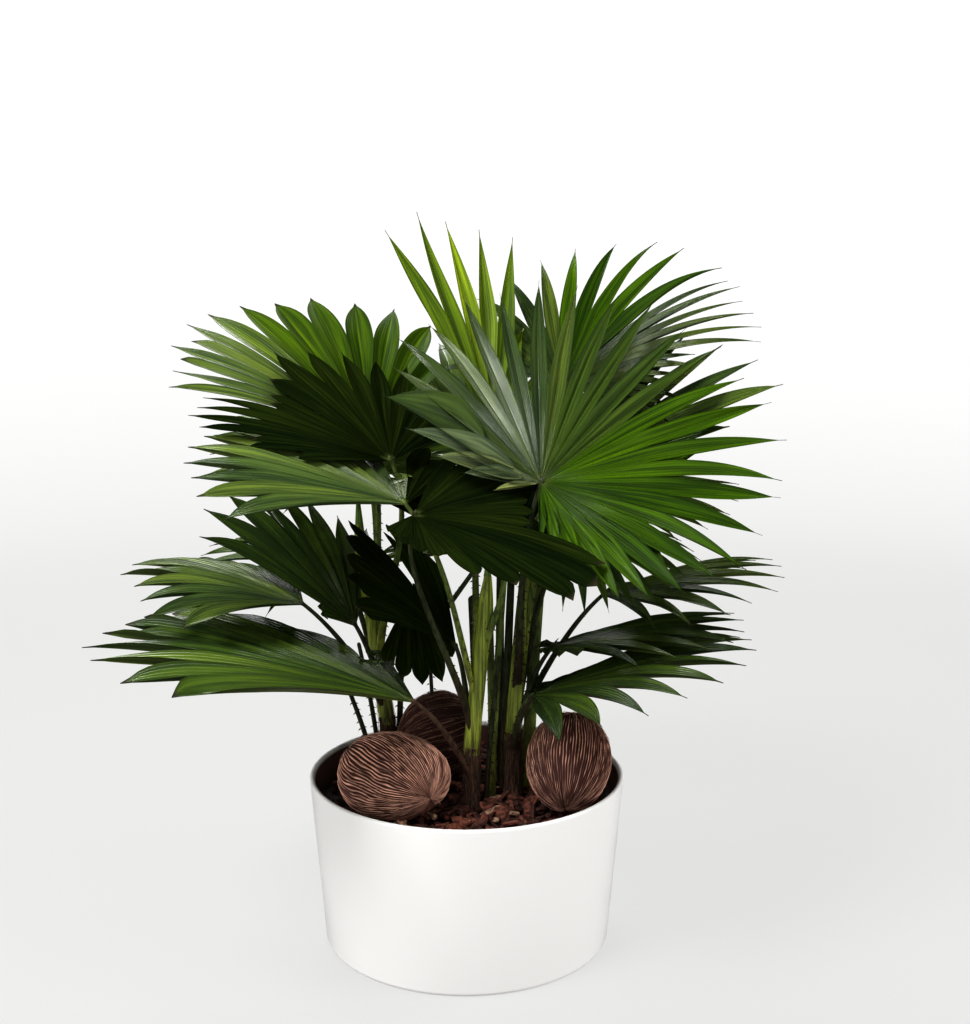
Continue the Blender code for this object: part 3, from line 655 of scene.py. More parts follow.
class Fan:
    """The geometry of one pleated fan: its hub, its axes and the lines of its leaflets."""

    def __init__(self, row):
        (self.name, self.stem, self.foot, hub, azimuth, rise, roll, self.reach,
         left, right, self.count, self.split, fold, self.droop) = row
        self.hub = np.array(hub)
        azimuth, rise, roll, self.fold = np.radians([azimuth, rise, roll, fold])
        self.left, self.right = math.radians(left), math.radians(right)
        self.middle = np.array([math.cos(rise) * math.cos(azimuth),
                                math.cos(rise) * math.sin(azimuth), math.sin(rise)])
        level = np.array([-math.sin(azimuth), math.cos(azimuth), 0.0])
        upright = np.cross(self.middle, level)
        self.face = math.cos(roll) * upright - math.sin(roll) * level
        self.side = np.cross(self.face, self.middle)
        self.pitch = (self.left + self.right) / self.count

    def heading(self, angle):
        """Where a leaflet sets off to: turned in the fan's plane, folded down at the sides
        like a roof, and cupped."""
        angle = np.asarray(angle, float)[..., None]
        flat = (np.cos(angle) * self.middle + np.sin(angle) * math.cos(self.fold) * self.side
                - np.abs(np.sin(angle)) * math.sin(self.fold) * self.face)
        return math.cos(CUP) * flat + math.sin(CUP) * self.face

    def across(self, angle):
        """The level way across a leaflet, towards the fan's left."""
        small = 0.01
        way = self.heading(angle + small) - self.heading(angle - small)
        return way / np.linalg.norm(way, axis=-1, keepdims=True)

    def length(self, angle):
        """A leaflet's length: the further from the middle one, the shorter."""
        return self.reach * (1 - BASAL_SHORTER * (np.abs(angle) / FULL_SPREAD) ** 2.5)

    def notch(self, angle):
        """The share of the length up to which the leaflets are joined."""
        return self.split * (1 - BASAL_FREER * (np.abs(angle) / FULL_SPREAD) ** 3)

    def trace(self, angle, shares, bend=0.0, sway=0.0):
        """Points and headings along leaflets at shares of their length. Gravity pulls the
        heading down with the square of the share; past the split, bend adds to that and sway
        turns it sideways."""
        angle = np.atleast_1d(np.asarray(angle, float))
        shares = np.asarray(shares, float)
        past = np.maximum(0, shares - self.split)
        pull = self.droop * shares ** 2 + bend * past
        heading = self.heading(angle)[:, None] - pull[None, :, None] * np.array([0, 0, 1.0])
        heading = heading + (sway * past)[None, :, None] * self.across(angle)[:, None]
        heading /= np.linalg.norm(heading, axis=2, keepdims=True)
        step = np.diff(shares, prepend=0.0)[None, :, None] * self.length(angle)[:, None, None]
        before = np.concatenate([heading[:, :1], heading[:, :-1]], axis=1)
        points = self.hub + np.cumsum((heading + before) / 2 * step, axis=1)
        return points, heading

    def leaflet_angle(self, index):
        """The angle of a leaflet's rib, counted from the right edge."""
        return -self.right + (index + 0.5) * self.pitch

    def edge_angle(self, index):
        """The angle of the fold between two leaflets, counted from the right edge."""
        return -self.right + index * self.pitch


def petiole_curve(fan, samples):
    """A cubic curve from the stem's middle to the fan's hub."""
    start = stem_axis(fan.stem, fan.foot)
    chord = fan.hub - start
    length = np.linalg.norm(chord)
    leave = chord / length + np.array([0, 0, PETIOLE_LIFT])
    arrive = (1 - PETIOLE_FAN_SHARE) * chord / length + PETIOLE_FAN_SHARE * fan.middle
    first = start + PETIOLE_LEADS[0] * length * leave / np.linalg.norm(leave)
    second = fan.hub - PETIOLE_LEADS[1] * length * arrive / np.linalg.norm(arrive)
    t = np.linspace(0, 1, samples)[:, None]
    return ((1 - t) ** 3 * start + 3 * t * (1 - t) ** 2 * first
            + 3 * t ** 2 * (1 - t) * second + t ** 3 * fan.hub)


def petiole_frame(path, face):
    """Tangent, sideways and upward directions along the petiole; up is as near the fan's face
    as the path allows."""
    tangent = np.gradient(path, axis=0)
    tangent /= np.linalg.norm(tangent, axis=1, keepdims=True)
    sideways = np.cross(face, tangent)
    sideways /= np.linalg.norm(sideways, axis=1, keepdims=True)
    return tangent, sideways, np.cross(tangent, sideways)


def petiole_rings(fan):
    """A section round below and hollowed above, whose size tapers from the clasping foot to
    the hub, where it ends in a small rounded lip on the blade."""
    share = np.linspace(0, 1, 44)
    path = petiole_curve(fan, 44)
    tangent, sideways, upward = petiole_frame(path, fan.face)
    radius = PETIOLE_RADIUS + (PETIOLE_TIP_RADIUS - PETIOLE_RADIUS) * share
    wide = radius * (1 + 0.55 * np.exp(-share / 0.09))
    angle = np.arange(14) * 2 * math.pi / 14
    hollow = 0.35 * np.exp(-((angle - math.pi / 2) / 0.65) ** 2)
    ring = (np.cos(angle)[None, :, None] * (wide[:, None] * sideways)[:, None]
            + (np.sin(angle) - hollow)[None, :, None] * (radius[:, None] * upward)[:, None])
    rings = path[:, None] + ring
    steps = np.array([0.0010, 0.0022, 0.0036, 0.0050])
    lips = rings[-1] + steps[:, None, None] * tangent[-1]
    lips = lips.mean(axis=1, keepdims=True) + (lips - lips.mean(axis=1, keepdims=True)) * np.array(
        [1.25, 1.2, 0.8, 0.2])[:, None, None]
    return np.concatenate([rings, lips])[:, ::-1]


def stalk_thorns(path, face, seed):
    """Hooked thorns in two rows along the upper edges, longer near the stem."""
    rng = np.random.default_rng(seed)
    tangent, sideways, upward = petiole_frame(path, face)
    length = np.linalg.norm(np.diff(path, axis=0), axis=1).sum()
    thorns = []
    for side in (-1, 1):
        place_along = 0.10
        while place_along < 0.72:
            k = int(place_along * 199)
            radius = PETIOLE_RADIUS + (PETIOLE_TIP_RADIUS - PETIOLE_RADIUS) * place_along
            size = rng.uniform(0.0020, 0.0036) * (1.1 - 0.7 * place_along)
            share = np.linspace(0, 1, 5)[:, None]
            out = side * sideways[k] + 0.25 * upward[k]
            line = (path[k] + 0.80 * radius * out + size * share * out
                    - 0.55 * size * share ** 2 * tangent[k])
            width = 0.30 * size * (1 - share[:, 0]) ** 0.8 + 0.00006
            thorns.append(skin_rings(follow(line, width, 5, tangent[k])))
            place_along += rng.uniform(0.006, 0.012) / length
    return thorns


def bare_stalk(foot, top, radii, samples):
    """The path and radii of a stalk without a blade: it rises out of the mulch, leans over
    towards its top by the 1.4th power of the height, and ends in a blunt rounded cut."""
    share = np.linspace(0, 1, samples)
    path = np.empty((samples, 3))
    path[:, :2] = np.array(foot) + (np.array(top[:2]) - foot) * share[:, None] ** 1.4
    path[:, 2] = mulch_top - 0.005 + (top[2] - mulch_top + 0.005) * share
    radius = radii[0] + (radii[1] - radii[0]) * share
    return path, radius * np.sqrt(np.clip((1.003 - share) / 0.012, 0, 1))


def petiole_finish(name, foot, light, dark):
    """A stalk with fine streaks along it, that changes from its foot's colour further out."""
    material, tree, shader = start_material("petiole_" + name, light, 0.42)
    speckle = mottle(tree, 320.0, 4.0, (1, 1, 0.25))
    shade = ramp(tree, speckle, 0.34, 0.60)
    streaked = blend(tree, shade, dark, light)
    near = blend(tree, shade, tuple(0.5 * c for c in foot), foot)
    further = ramp(tree, read_mark(tree, "along"), 0.04, 0.42)
    tree.links.new(blend(tree, further, near, streaked), shader.inputs["Base Color"])
    shader.inputs["Specular IOR Level"].default_value = 0.35
    raise_surface(tree, shader, speckle, 0.0002)
    return material


fans = [Fan(row) for row in FRONDS]
petiole_looks = {name: petiole_finish(name, *colours) for name, colours in PETIOLE_LOOKS.items()}
thorns = []
for seed, fan in enumerate(fans):
    rings = petiole_rings(fan)
    along = np.append(np.repeat(np.linspace(0, 1, len(rings)), rings.shape[1]), [0.0, 1.0])
    age = "young" if fan.foot > YOUNG_FOOT else "dry" if fan.name in DRY_PETIOLES else "old"
    put_piece("petiole_stalk_" + fan.name, [skin_rings(rings)], petiole_looks[age],
              ["petiole_" + fan.name], {"along": along})
    thorns += stalk_thorns(petiole_curve(fan, 200), fan.face, 100 + seed)
for seed, (foot, top, radii, age) in enumerate(BARE_STALKS):
    path, radius = bare_stalk(foot, top, radii, 90)
    rings = follow(path, radius, 14, (1.0, 0.0, 0.0), 0.8)
    along = np.append(np.repeat(np.linspace(0, 0.8, 90), 14), [0.0, 0.8])
    put_piece(f"bare_stalk_{seed}", [skin_rings(rings)], petiole_looks[age],
              marks={"along": along})
    thorns += stalk_thorns(bare_stalk(foot, top, radii, 200)[0], (0.0, -1.0, 0.0), 150 + seed)
thorn_look = streaked_finish("thorn_dark_brown", THORN_BROWN, THORN_BLACK, 400, 400, 0.45, 0.0001)
put_piece("petiole_thorns", thorns, thorn_look)

# Fans
# A round blade pleated like a folded paper fan. Halfway out it splits into leaflets, each
# creased along its rib and drawn out to a thin dry thread at the tip.
LEAFLET_TRIES = (
    (1.0, 0.0), (1.0, 0.2), (1.0, -0.2), (1.0, 0.45), (1.0, -0.4), (0.86, 0.0), (0.86, 0.3),
    (0.86, -0.3), (0.72, 0.0), (0.72, 0.3), (0.6, 0.0), (0.48, 0.0), (0.36, 0.0), (0.24, 0.0),
    (0.14, 0.0),
)
STATIONS = 30
HUB_SHARE = 0.014
ACROSS = np.array([-1.0, -0.62, -0.28, -0.08, 0.0, 0.08, 0.28, 0.62, 1.0])
BLADE_HALF_THICKNESS = 0.00026
RIB_DEPTH = 0.0007
PLEAT_AT_HUB = math.radians(42)
PLEAT_AT_TIP = math.radians(32)
THREAD_SHARE = 0.06         # of a leaflet's free length, the dry thread at its end
OPEN_SHARE = 0.30           # of its free length, until a leaflet has opened to its own width
JOINED_LIMIT = 0.93         # the most of a leaflet's length that is joined to its neighbours
TWIST = 0.32
SHORTER = 0.08
LEAF_LOOKS = {
    # upper colour, under colour, roughness, reflectance level; mid is a leaf's own colour, while
    # dark and deep hold some of the photograph's shade, and sunlit, silver and pale its light
    "sunlit": ((0.108, 0.182, 0.010), (0.104, 0.172, 0.012), 0.40, 0.20),
    "bright": ((0.036, 0.090, 0.003), (0.038, 0.086, 0.004), 0.30, 0.35),
    "broad": ((0.032, 0.072, 0.002), (0.034, 0.068, 0.003), 0.42, 0.08),
    "mid": ((0.047, 0.090, 0.016), (0.049, 0.086, 0.019), 0.26, 0.60),
    "pale": ((0.125, 0.170, 0.085), (0.110, 0.155, 0.075), 0.24, 0.70),
    "silver": ((0.060, 0.104, 0.029), (0.062, 0.100, 0.033), 0.24, 0.70),
    "gloss": ((0.047, 0.083, 0.023), (0.049, 0.080, 0.027), 0.19, 1.00),
    "deep": ((0.024, 0.050, 0.009), (0.026, 0.048, 0.011), 0.25, 0.50),
    "dark": ((0.0068, 0.0142, 0.0028), (0.0072, 0.0138, 0.0033), 0.45, 0.0),
}
# how much lighter the ribs are; on the folds near the hub this is partly a painted highlight
RIB_LIGHTER = (2.3, 2.0, 1.9)
HUB_PALE = (0.22, 0.27, 0.08)
TIP_DRY = (0.046, 0.037, 0.023)
FAN_LOOKS = {
    # looks, each with the leaflet, counted from the right edge, that it starts at
    "01": {0: "bright", 14: "mid", 18: "gloss", 26: "pale"},
    "02": {0: "bright", 7: "mid"},
    "03": {0: "gloss", 14: "bright", 19: "gloss"},
    "04": {0: "sunlit"},
    "05": {0: "broad", 7: "mid", 8: "silver"},
    "06": {0: "dark"},
    "07": {0: "dark", 3: "gloss", 8: "silver"},
    "23": {0: "dark"},
    "08": {0: "deep", 4: "mid"},
    "09": {0: "deep"},
    "10": {0: "gloss", 4: "silver"},
    "11": {0: "deep"},
    "13": {0: "dark"},
    "14": {0: "dark"},
    "15": {0: "deep"},
    "16": {0: "mid", 7: "gloss"},
    "17": {0: "dark"},
}
USUAL_LOOK = {0: "mid"}
FAN_SHAPES = {
    # depth of the pleats, bluntness and slimness of the leaflets, how far up they are joined,
    # and the shares of the reach at which the joined blade is as wide as a leaflet gets, at the
    # right edge and at the left one
    "01": (1.20, 3.2, 0.10, 0.84, 0.56, 0.30),
    "02": (1.10, 3.0, 0.15, 0.85, 0.50, 0.50),
    "03": (1.25, 2.4, 0.20, 0.75, 0.34, 0.42),
    "04": (1.10, 1.8, 0.25, 0.92, 0.50, 0.50),
    "05": (0.60, 3.0, 0.10, 1.00, 0.50, 0.36),
    "06": (0.70, 2.5, 0.15, 0.98, 0.42, 0.42),
    "07": (0.90, 3.0, 0.10, 1.00, 0.58, 0.52),
    "08": (0.85, 3.2, 0.10, 1.02, 0.58, 0.62),
    "09": (0.90, 2.8, 0.12, 0.95, 0.56, 0.50),
    "10": (1.00, 2.8, 0.12, 0.96, 0.58, 0.62),
    "11": (0.70, 2.2, 0.20, 0.98, 0.44, 0.44),
    "13": (0.28, 3.2, 0.05, 1.12, 0.50, 0.50),
    "14": (0.60, 2.6, 0.15, 1.00, 0.50, 0.50),
    "17": (0.40, 3.0, 0.05, 1.20, 0.60, 0.60),
    "23": (0.28, 3.2, 0.05, 1.10, 0.46, 0.46),
}
USUAL_SHAPE = (1.00, 2.3, 0.22, 0.90, 0.42, 0.42)
# Leaflets that break their fan's rule. LOBES are short ones before the right edge, by their
# shares of the length, and TRIMS are what is left of torn ones. Counted from the first lobe,
# FREED is the edge past which they are cut far in, LOST are left out, and FORKED is the range
# of those forked in two. From WIDENED on they are broad, counted from the right edge.
LOBES = {"15": (0.36, 0.46, 0.52, 0.55), "23": (0.34, 0.38, 0.42, 0.46, 0.50)}
TRIMS = {"23": {0: 0.66, 1: 0.82}}
FREED = {"01": 25, "15": 16, "23": 14}
LOST = {"01": (29,)}
FORKED = {"03": (0, 7), "05": (8, 11), "06": (10, 14)}
WIDENED = {"01": 25}
FREED_NOTCH = 0.45          # how much of its notch is left to a freed leaflet
WIDENED_BY = 3.8
MOST_OPENED = 3.5           # the most that a leaflet opens past its notch, in widths there
MOST_WIDENED = 8.0
SWAY = 0.10                 # spread of the sideways sway and of the bend from leaflet to leaflet
BEND = 0.14


def settled(fan):
    """The share and bend of each leaflet, read from the frame: the try whose tip lies on the
    fan's solid."""
    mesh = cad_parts["fan_" + fan.name].data
    corners = np.zeros(len(mesh.vertices) * 3, np.float32)
    mesh.vertices.foreach_get("co", corners)
    corners = corners.reshape(-1, 3)
    found = []
    for index in range(fan.count):
        angle = fan.leaflet_angle(index)
        away = []
        for share, bend in LEAFLET_TRIES:
            middles = (np.arange(CURVE_STEPS) + 0.5) / CURVE_STEPS * share
            pull = fan.droop * middles ** 2 + bend * np.maximum(0, middles - fan.split)
            heading = fan.heading(angle)[None] - pull[:, None] * np.array([0, 0, 1.0])
            heading /= np.linalg.norm(heading, axis=1, keepdims=True)
            tip = fan.hub + heading.sum(axis=0) * fan.length(angle) * share / CURVE_STEPS
            away.append(np.linalg.norm(corners - tip, axis=1).min())
        found.append(LEAFLET_TRIES[int(np.argmin(away))])
    return found


def leaflet_rings(fan, index, wide, share, bend, notches, rng):
    """One leaflet, or half of a forked one, as rings from the hub to the tip. Up to the notch
    on each side it fills its sector; beyond, the outline found there is carried along the rib,
    opens to the leaflet's own width, and narrows by one less a power of the way to the tip,
    down to a thread. The section is a V whose depth is its half width times the tangent of the
    pleat's angle."""
    angle = fan.leaflet_angle(index)
    half_pitch = wide * fan.pitch / 2
    pleat_depth, blunt, slim, _, *widths = FAN_SHAPES.get(fan.name, USUAL_SHAPE)
    share = share * (1 - SHORTER * rng.uniform(0, 1))
    shares = HUB_SHARE + (share - HUB_SHARE) * np.linspace(0, 1, STATIONS)
    sway = rng.normal(0, SWAY)
    middle, along = fan.trace(angle, shares, bend + rng.normal(0, BEND), sway)
    middle, along = middle[0], along[0]
    flat, flat_along = fan.trace(angle + ACROSS * half_pitch, shares)
    side = fan.across(np.array([angle]))[0]
    up = np.cross(along, side)
    up /= np.linalg.norm(up, axis=1, keepdims=True)
    side = np.cross(up, along)
    free = max(notches)
    past = np.maximum(0, (shares - free) / max(share - free, 0.05))
    twist = rng.normal(0, TWIST) * past
    side, up = (side * np.cos(twist)[:, None] + up * np.sin(twist)[:, None],
                up * np.cos(twist)[:, None] - side * np.sin(twist)[:, None])
    tips = np.array(fan.length(angle + ACROSS * half_pitch))
    width = shares[:, None] * tips[None] * math.sin(half_pitch)
    power = blunt * rng.uniform(0.85, 1.15)
    own_width = np.interp(index, (0, fan.count), widths) * fan.reach * math.sin(half_pitch)
    widened = index >= WIDENED.get(fan.name, fan.count)
    own_width *= WIDENED_BY if widened else 1.0
    points = np.empty((STATIONS, len(ACROSS), 3))
    for column, w in enumerate(ACROSS):
        notch = notches[0] if w < 0 else notches[1]
        if w == 0:
            points[:, column] = middle
            continue
        last = max(1, int(np.searchsorted(shares, min(notch, 0.9 * share))) - 1)
        reach = np.maximum(0, (shares - shares[last]) / (share - shares[last]))
        blade = np.minimum(reach / (1 - THREAD_SHARE), 1)
        opened = own_width / (shares[last] * tips[-1] * math.sin(half_pitch))
        opened = np.clip(opened, 1, MOST_WIDENED if widened else MOST_OPENED)
        opening = 1 + (opened - 1) * np.minimum(1, reach / OPEN_SHARE) ** 0.7
        taper = np.maximum((1 - blade ** power) * (1 - slim * blade) * opening, 0.05 - 0.03 * reach)
        taper = np.where(reach > 0, taper, 1.0)
        away = flat[column, last] - middle[last]
        parts = [away @ along[last], away @ side[last], away @ up[last]]
        carried = middle + (parts[0] * along + parts[1] * side + parts[2] * up) * taper[:, None]
        points[:, column] = np.where((reach > 0)[:, None], carried, flat[column])
        width[:, column] = np.where(reach > 0, width[last, column] * taper, width[:, column])
    width[:, len(ACROSS) // 2] = width[:, len(ACROSS) // 2 + 1]
    pleat = PLEAT_AT_HUB + (PLEAT_AT_TIP - PLEAT_AT_HUB) * np.clip(shares / 0.9, 0, 1)
    depth = np.tan(pleat * pleat_depth)[:, None] * width * (np.abs(ACROSS)[None] - 0.5)
    normal = np.cross(flat_along.transpose(1, 0, 2), fan.across(angle + ACROSS * half_pitch)[None])
    normal /= np.linalg.norm(normal, axis=2, keepdims=True)
    lift = np.where((shares > free)[:, None, None], up[:, None], normal)
    points = points + depth[..., None] * lift
    thick = BLADE_HALF_THICKNESS * (1 - 0.4 * shares)[:, None]
    rib = RIB_DEPTH * (1 - 0.85 * shares)[:, None] * np.exp(-(ACROSS / 0.10) ** 2)[None]
    top = points + (thick * np.ones(len(ACROSS)))[..., None] * lift
    bottom = points - (thick + rib)[..., None] * lift
    rings = np.concatenate([top[:, ::-1], bottom], axis=1)
    marks = {
        "along": np.repeat(shares / max(share, 0.6), 2 * len(ACROSS)),
        "across": np.tile(np.concatenate([ACROSS[::-1], ACROSS]), STATIONS),
        "under": np.tile(np.repeat([0.0, 1.0], len(ACROSS)), STATIONS),
        "tone": np.full(STATIONS * 2 * len(ACROSS), rng.uniform(0, 1)),
    }
    ends = {"along": (0, 1), "across": (0, 0), "under": (0, 0), "tone": (0.5, 0.5)}
    return skin_rings(rings), {key: np.append(marks[key], ends[key]) for key in marks}


def fan_leaflets(fan, seed):
    """All leaflets of a fan from its right edge, each with its marks. Two neighbours are
    joined up to the fan's notch between them, and never further out than most of the shorter
    one's length."""
    rng = np.random.default_rng(seed)
    lobes = LOBES.get(fan.name, ())
    trims = TRIMS.get(fan.name, {})
    settings = [(share, 0.0) for share in lobes]
    settings += [(share * trims.get(k, 1.0), bend) for k, (share, bend) in enumerate(settled(fan))]
    joined = FAN_SHAPES.get(fan.name, USUAL_SHAPE)[3]
    first = -len(lobes)
    edges = [fan.notch(fan.edge_angle(k)) * joined * rng.uniform(0.86, 1.07)
             for k in range(first, fan.count + 1)]
    freed = FREED.get(fan.name, fan.count)
    edges = [edge * (FREED_NOTCH if k > freed else 1.0) for k, edge in enumerate(edges)]
    shares = [share for share, _ in settings]
    around = [shares[0], *[min(a, b) for a, b in zip(shares, shares[1:])], shares[-1]]
    edges = [min(edge, JOINED_LIMIT * share) for edge, share in zip(edges, around)]
    leaflets = []
    for k, (share, bend) in enumerate(settings):
        if k in LOST.get(fan.name, ()):
            continue
        low, high = edges[k], edges[k + 1]
        if k in range(*FORKED.get(fan.name, (0, 0))):
            fork = min(1.15 * max(low, high), JOINED_LIMIT * share)
            for index, notches in ((k - 0.25, (low, fork)), (k + 0.25, (fork, high))):
                leaflets.append(leaflet_rings(fan, index, 0.5, share, bend, notches, rng))
        else:
            leaflets.append(leaflet_rings(fan, first + k, 1.0, share, bend, (low, high), rng))
    return leaflets


def leaf_skin_group():
    """Colour, roughness and vein height of a leaf from its two side colours and its marks."""
    group = bpy.data.node_groups.new("leaf_skin", "ShaderNodeTree")
    for name, kind in (("Upper", "NodeSocketColor"), ("Under", "NodeSocketColor"),
                       ("Along", "NodeSocketFloat"), ("Across", "NodeSocketFloat"),
                       ("Underside", "NodeSocketFloat"), ("Tone", "NodeSocketFloat"),
                       ("Roughness", "NodeSocketFloat")):
        group.interface.new_socket(name, in_out="INPUT", socket_type=kind)
    for name, kind in (("Colour", "NodeSocketColor"), ("Roughness", "NodeSocketFloat"),
                       ("Height", "NodeSocketFloat")):
        group.interface.new_socket(name, in_out="OUTPUT", socket_type=kind)
    given = add_node(group, "NodeGroupInput").outputs
    colour = blend(group, given["Underside"], given["Upper"], given["Under"])
    shade = calculate(group, "ADD", calculate(group, "MULTIPLY", given["Tone"], 0.7),
                      calculate(group, "MULTIPLY", mottle(group, 22.0, 3.0), 0.4))
    colour = blend(group, ramp(group, shade, 0.15, 0.95), colour, (2.1, 1.75, 1.2), "MULTIPLY")
    spot = add_node(group, "ShaderNodeCombineXYZ", {
        "X": calculate(group, "MULTIPLY", given["Across"], 2.2),
        "Y": calculate(group, "MULTIPLY", given["Along"], 1.3),
        "Z": calculate(group, "MULTIPLY", given["Tone"], 60.0)})
    streaks = add_node(group, "ShaderNodeTexNoise", {
        "Vector": spot.outputs["Vector"], "Scale": 1.6, "Detail": 2.0}).outputs["Fac"]
    colour = blend(group, ramp(group, streaks, 0.38, 0.66), blend(
        group, 1.0, colour, (0.62, 0.66, 0.70), "MULTIPLY"), blend(
        group, 1.0, colour, (1.40, 1.32, 1.25), "MULTIPLY"))
    edge = calculate(group, "ABSOLUTE", given["Across"])
    # painted shade: the leaflets' edges, in the folds between them, are darkened
    valley_shade = calculate(group, "MULTIPLY", ramp(group, edge, 0.80, 1.0), 0.55)
    colour = blend(group, valley_shade, colour, (0.45, 0.50, 0.50), "MULTIPLY")
    veins = calculate(group, "SINE", calculate(group, "MULTIPLY", edge, 34.0))
    veins = ramp(group, veins, -0.6, 1.0)
    colour = blend(group, calculate(group, "MULTIPLY", veins, 0.14), colour, (1.7, 1.6, 1.4),
                   "MULTIPLY")
    near = ramp(group, given["Along"], 0.55, 0.02)
    rib = calculate(group, "MULTIPLY", ramp(group, edge, 0.10, 0.02), 0.45)
    # the folds between leaflets near the hub are lighter: partly pale ribs, partly a painted
    # highlight on the ridges
    ridge = calculate(group, "MULTIPLY", ramp(group, edge, 0.90, 1.0), near)
    ridge = calculate(group, "MULTIPLY", ridge, 0.6)
    colour = blend(group, rib, colour, RIB_LIGHTER, "MULTIPLY")
    colour = blend(group, ridge, colour, RIB_LIGHTER, "MULTIPLY")
    colour = blend(group, ramp(group, given["Along"], 0.07, 0.0, 0.0, 0.5), colour, HUB_PALE)
    dry = ramp(group, given["Along"], 0.955, 0.995)
    colour = blend(group, dry, colour, TIP_DRY)
    rough = ramp(group, given["Underside"], 0.0, 1.0, 0.0, 0.14)
    rough = calculate(group, "ADD", rough, calculate(group, "MULTIPLY", dry, 0.3))
    rough = calculate(group, "ADD", rough, given["Roughness"])
    rough = calculate(group, "ADD", rough, ramp(group, streaks, 0.35, 0.65, 0.10, -0.04))
    result = add_node(group, "NodeGroupOutput")
    for name, value in (("Colour", colour), ("Roughness", rough), ("Height", veins)):
        group.links.new(value, result.inputs[name])
    return group


leaf_skin = leaf_skin_group()


def leaf_finish(name, upper, under, roughness, reflectance):
    """A leaf's finish: waxy above, duller below."""
    material, tree, shader = start_material("leaf_" + name, upper, roughness)
    shader.inputs["Specular IOR Level"].default_value = reflectance
    skin = add_node(tree, "ShaderNodeGroup", node_tree=leaf_skin)
    skin.inputs["Upper"].default_value = (*upper, 1.0)
    skin.inputs["Under"].default_value = (*under, 1.0)
    skin.inputs["Roughness"].default_value = roughness
    for key, mark in (("Along", "along"), ("Across", "across"), ("Underside", "under"),
                      ("Tone", "tone")):
        tree.links.new(read_mark(tree, mark), skin.inputs[key])
    tree.links.new(skin.outputs["Colour"], shader.inputs["Base Color"])
    tree.links.new(skin.outputs["Roughness"], shader.inputs["Roughness"])
    raise_surface(tree, shader, skin.outputs["Height"], 0.00012)
    return material


leaf_looks = {name: leaf_finish(name, *values) for name, values in LEAF_LOOKS.items()}
for seed, fan in enumerate(fans):
    leaflets = fan_leaflets(fan, 200 + seed)
    starts = FAN_LOOKS.get(fan.name, USUAL_LOOK)
    for first, after in zip(starts, [*list(starts)[1:], len(leaflets)]):
        blades = leaflets[first:after]
        marks = {key: np.concatenate([mark[key] for _, mark in blades]) for key in blades[0][1]}
        put_piece(f"fan_blade_{fan.name}_{first}", [skin for skin, _ in blades],
                  leaf_looks[starts[first]], ["fan_" + fan.name], marks, crease=55)

# Studio
# A grey round floor that runs up into a wall all round and glows pale, four soft lamps, above on
# the left, at both sides and behind, and the camera where the photograph was taken from.
CAMERA_PLACE = (0.0, -1.20, 0.593)
CAMERA_PITCH = math.radians(9.8)
CAMERA_YAW = math.radians(-0.78)
CAMERA_LENS = 49.2
CAMERA_SENSOR = 36.0
FLOOR_RADIUS = 1.9
FLOOR_ROUND = 1.2
WALL_HEIGHT = 5.0
STUDIO_GREY = (0.11, 0.11, 0.109)
FLOOR_GLOW = (0.69, 0.69, 0.683)
WALL_GLOW = (1.10, 1.10, 1.10)
LAMPS = {
    # place, point that it faces, size, power, whether it shows in glossy skins
    "key": ((-0.9, -1.0, 2.0), (0.0, 0.0, 0.35), 0.8, 45.0, True),
    "fill": ((2.1, -0.6, 1.0), (0.0, 0.0, 0.15), 1.0, 28.0, False),
    "side": ((-2.1, -0.5, 0.9), (0.0, 0.0, 0.15), 1.0, 18.0, False),
    "back": ((-0.3, 1.5, 1.7), (0.0, 0.1, 0.4), 0.9, 24.0, True),
}
AIR_ASIDE = 1.10            # the air's brightness level with the pot
AIR_ABOVE = 0.28
AIR_BELOW = 0.60
VIEW_GAMMA = 0.80           # the photograph's strong contrast


def studio_finish():
    """Dull grey that takes the shadows and glows to white, more so away from the middle and up
    the wall, so that it is pale in all views."""
    material, tree, shader = start_material("studio_glow", STUDIO_GREY, 0.9)
    shader.inputs["Specular IOR Level"].default_value = 0.1
    far = add_node(tree, "ShaderNodeVectorMath", {0: place(tree)}, operation="LENGTH")
    glow = blend(tree, ramp(tree, far.outputs["Value"], 1.0, 4.4), FLOOR_GLOW, WALL_GLOW)
    tree.links.new(glow, shader.inputs["Emission Color"])
    shader.inputs["Emission Strength"].default_value = 1.0
    return material


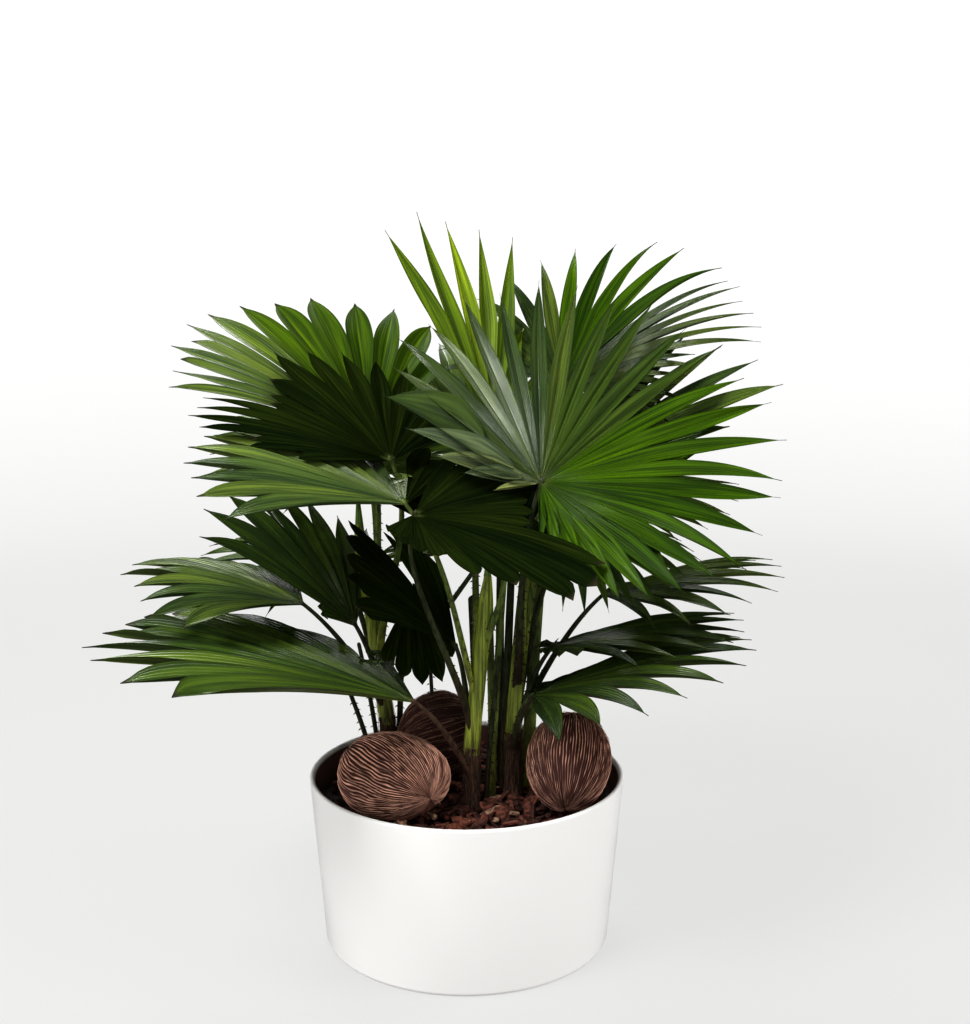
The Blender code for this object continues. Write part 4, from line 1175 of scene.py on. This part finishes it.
def studio_bowl():
    """The floor and wall: a straight, a quarter round and a straight, turned about Z. Only the
    camera sees it, so it throws no haze on glossy leaves."""
    bend = np.radians(np.linspace(0, 90, 20))
    profile = [(0.002, 0.0), *[(radius, 0.0) for radius in np.linspace(0.2, FLOOR_RADIUS, 8)]]
    profile += [(FLOOR_RADIUS + FLOOR_ROUND * math.sin(a), FLOOR_ROUND - FLOOR_ROUND * math.cos(a))
                for a in bend[1:]]
    profile.append((FLOOR_RADIUS + FLOOR_ROUND, WALL_HEIGHT))
    points, quads, _ = skin_rings(turn_profile(profile, 96))
    mesh = bpy.data.meshes.new("studio_bowl")
    mesh.from_pydata(points[:-2], [], quads[:, ::-1].tolist())
    mesh.shade_smooth()
    mesh.materials.append(studio_finish())
    bowl = bpy.data.objects.new("studio_bowl", mesh)
    bpy.context.scene.collection.objects.link(bowl)
    bowl.visible_glossy = False
    bowl.visible_diffuse = False


def soft_light(name, spot, aim, size, power, mirrored):
    """A square area light that faces a point, and that shows in glossy skins or doesn't."""
    light = bpy.data.lights.new(name, "AREA")
    light.size = size
    light.energy = power
    lamp = bpy.data.objects.new(name, light)
    bpy.context.scene.collection.objects.link(lamp)
    lamp.visible_camera = False
    lamp.visible_glossy = mirrored
    lamp.location = spot
    way = np.array(aim) - np.array(spot)
    flat = math.hypot(way[0], way[1])
    lamp.rotation_euler = (math.atan2(flat, -way[2]), 0.0, math.atan2(-way[0], way[1]))


studio_bowl()
for name, values in LAMPS.items():
    soft_light(name, *values)
world = bpy.data.worlds.new("studio_air")
world.use_nodes = True
world.node_tree.nodes["Background"].inputs["Color"].default_value = (1.0, 1.0, 1.0, 1.0)
air = world.node_tree
facing = add_node(air, "ShaderNodeTexCoord").outputs["Generated"]
upward = add_node(air, "ShaderNodeSeparateXYZ", {"Vector": facing}).outputs["Z"]
glow = ramp(air, upward, 0.15, 0.75, AIR_ASIDE, AIR_ABOVE)
glow = calculate(air, "MINIMUM", glow, ramp(air, upward, -0.1, -0.6, AIR_ASIDE, AIR_BELOW))
air.links.new(glow, air.nodes["Background"].inputs["Strength"])
world.cycles_visibility.glossy = False
bpy.context.scene.world = world
bpy.context.scene.view_settings.view_transform = "Standard"
bpy.context.scene.view_settings.gamma = VIEW_GAMMA

camera = bpy.data.objects.new("camera", bpy.data.cameras.new("camera"))
camera.data.sensor_fit = "VERTICAL"
camera.data.sensor_height = CAMERA_SENSOR
camera.data.lens = CAMERA_LENS
camera.location = CAMERA_PLACE
camera.rotation_euler = (math.pi / 2 - CAMERA_PITCH, 0.0, CAMERA_YAW)
bpy.context.scene.collection.objects.link(camera)
bpy.context.scene.camera = camera
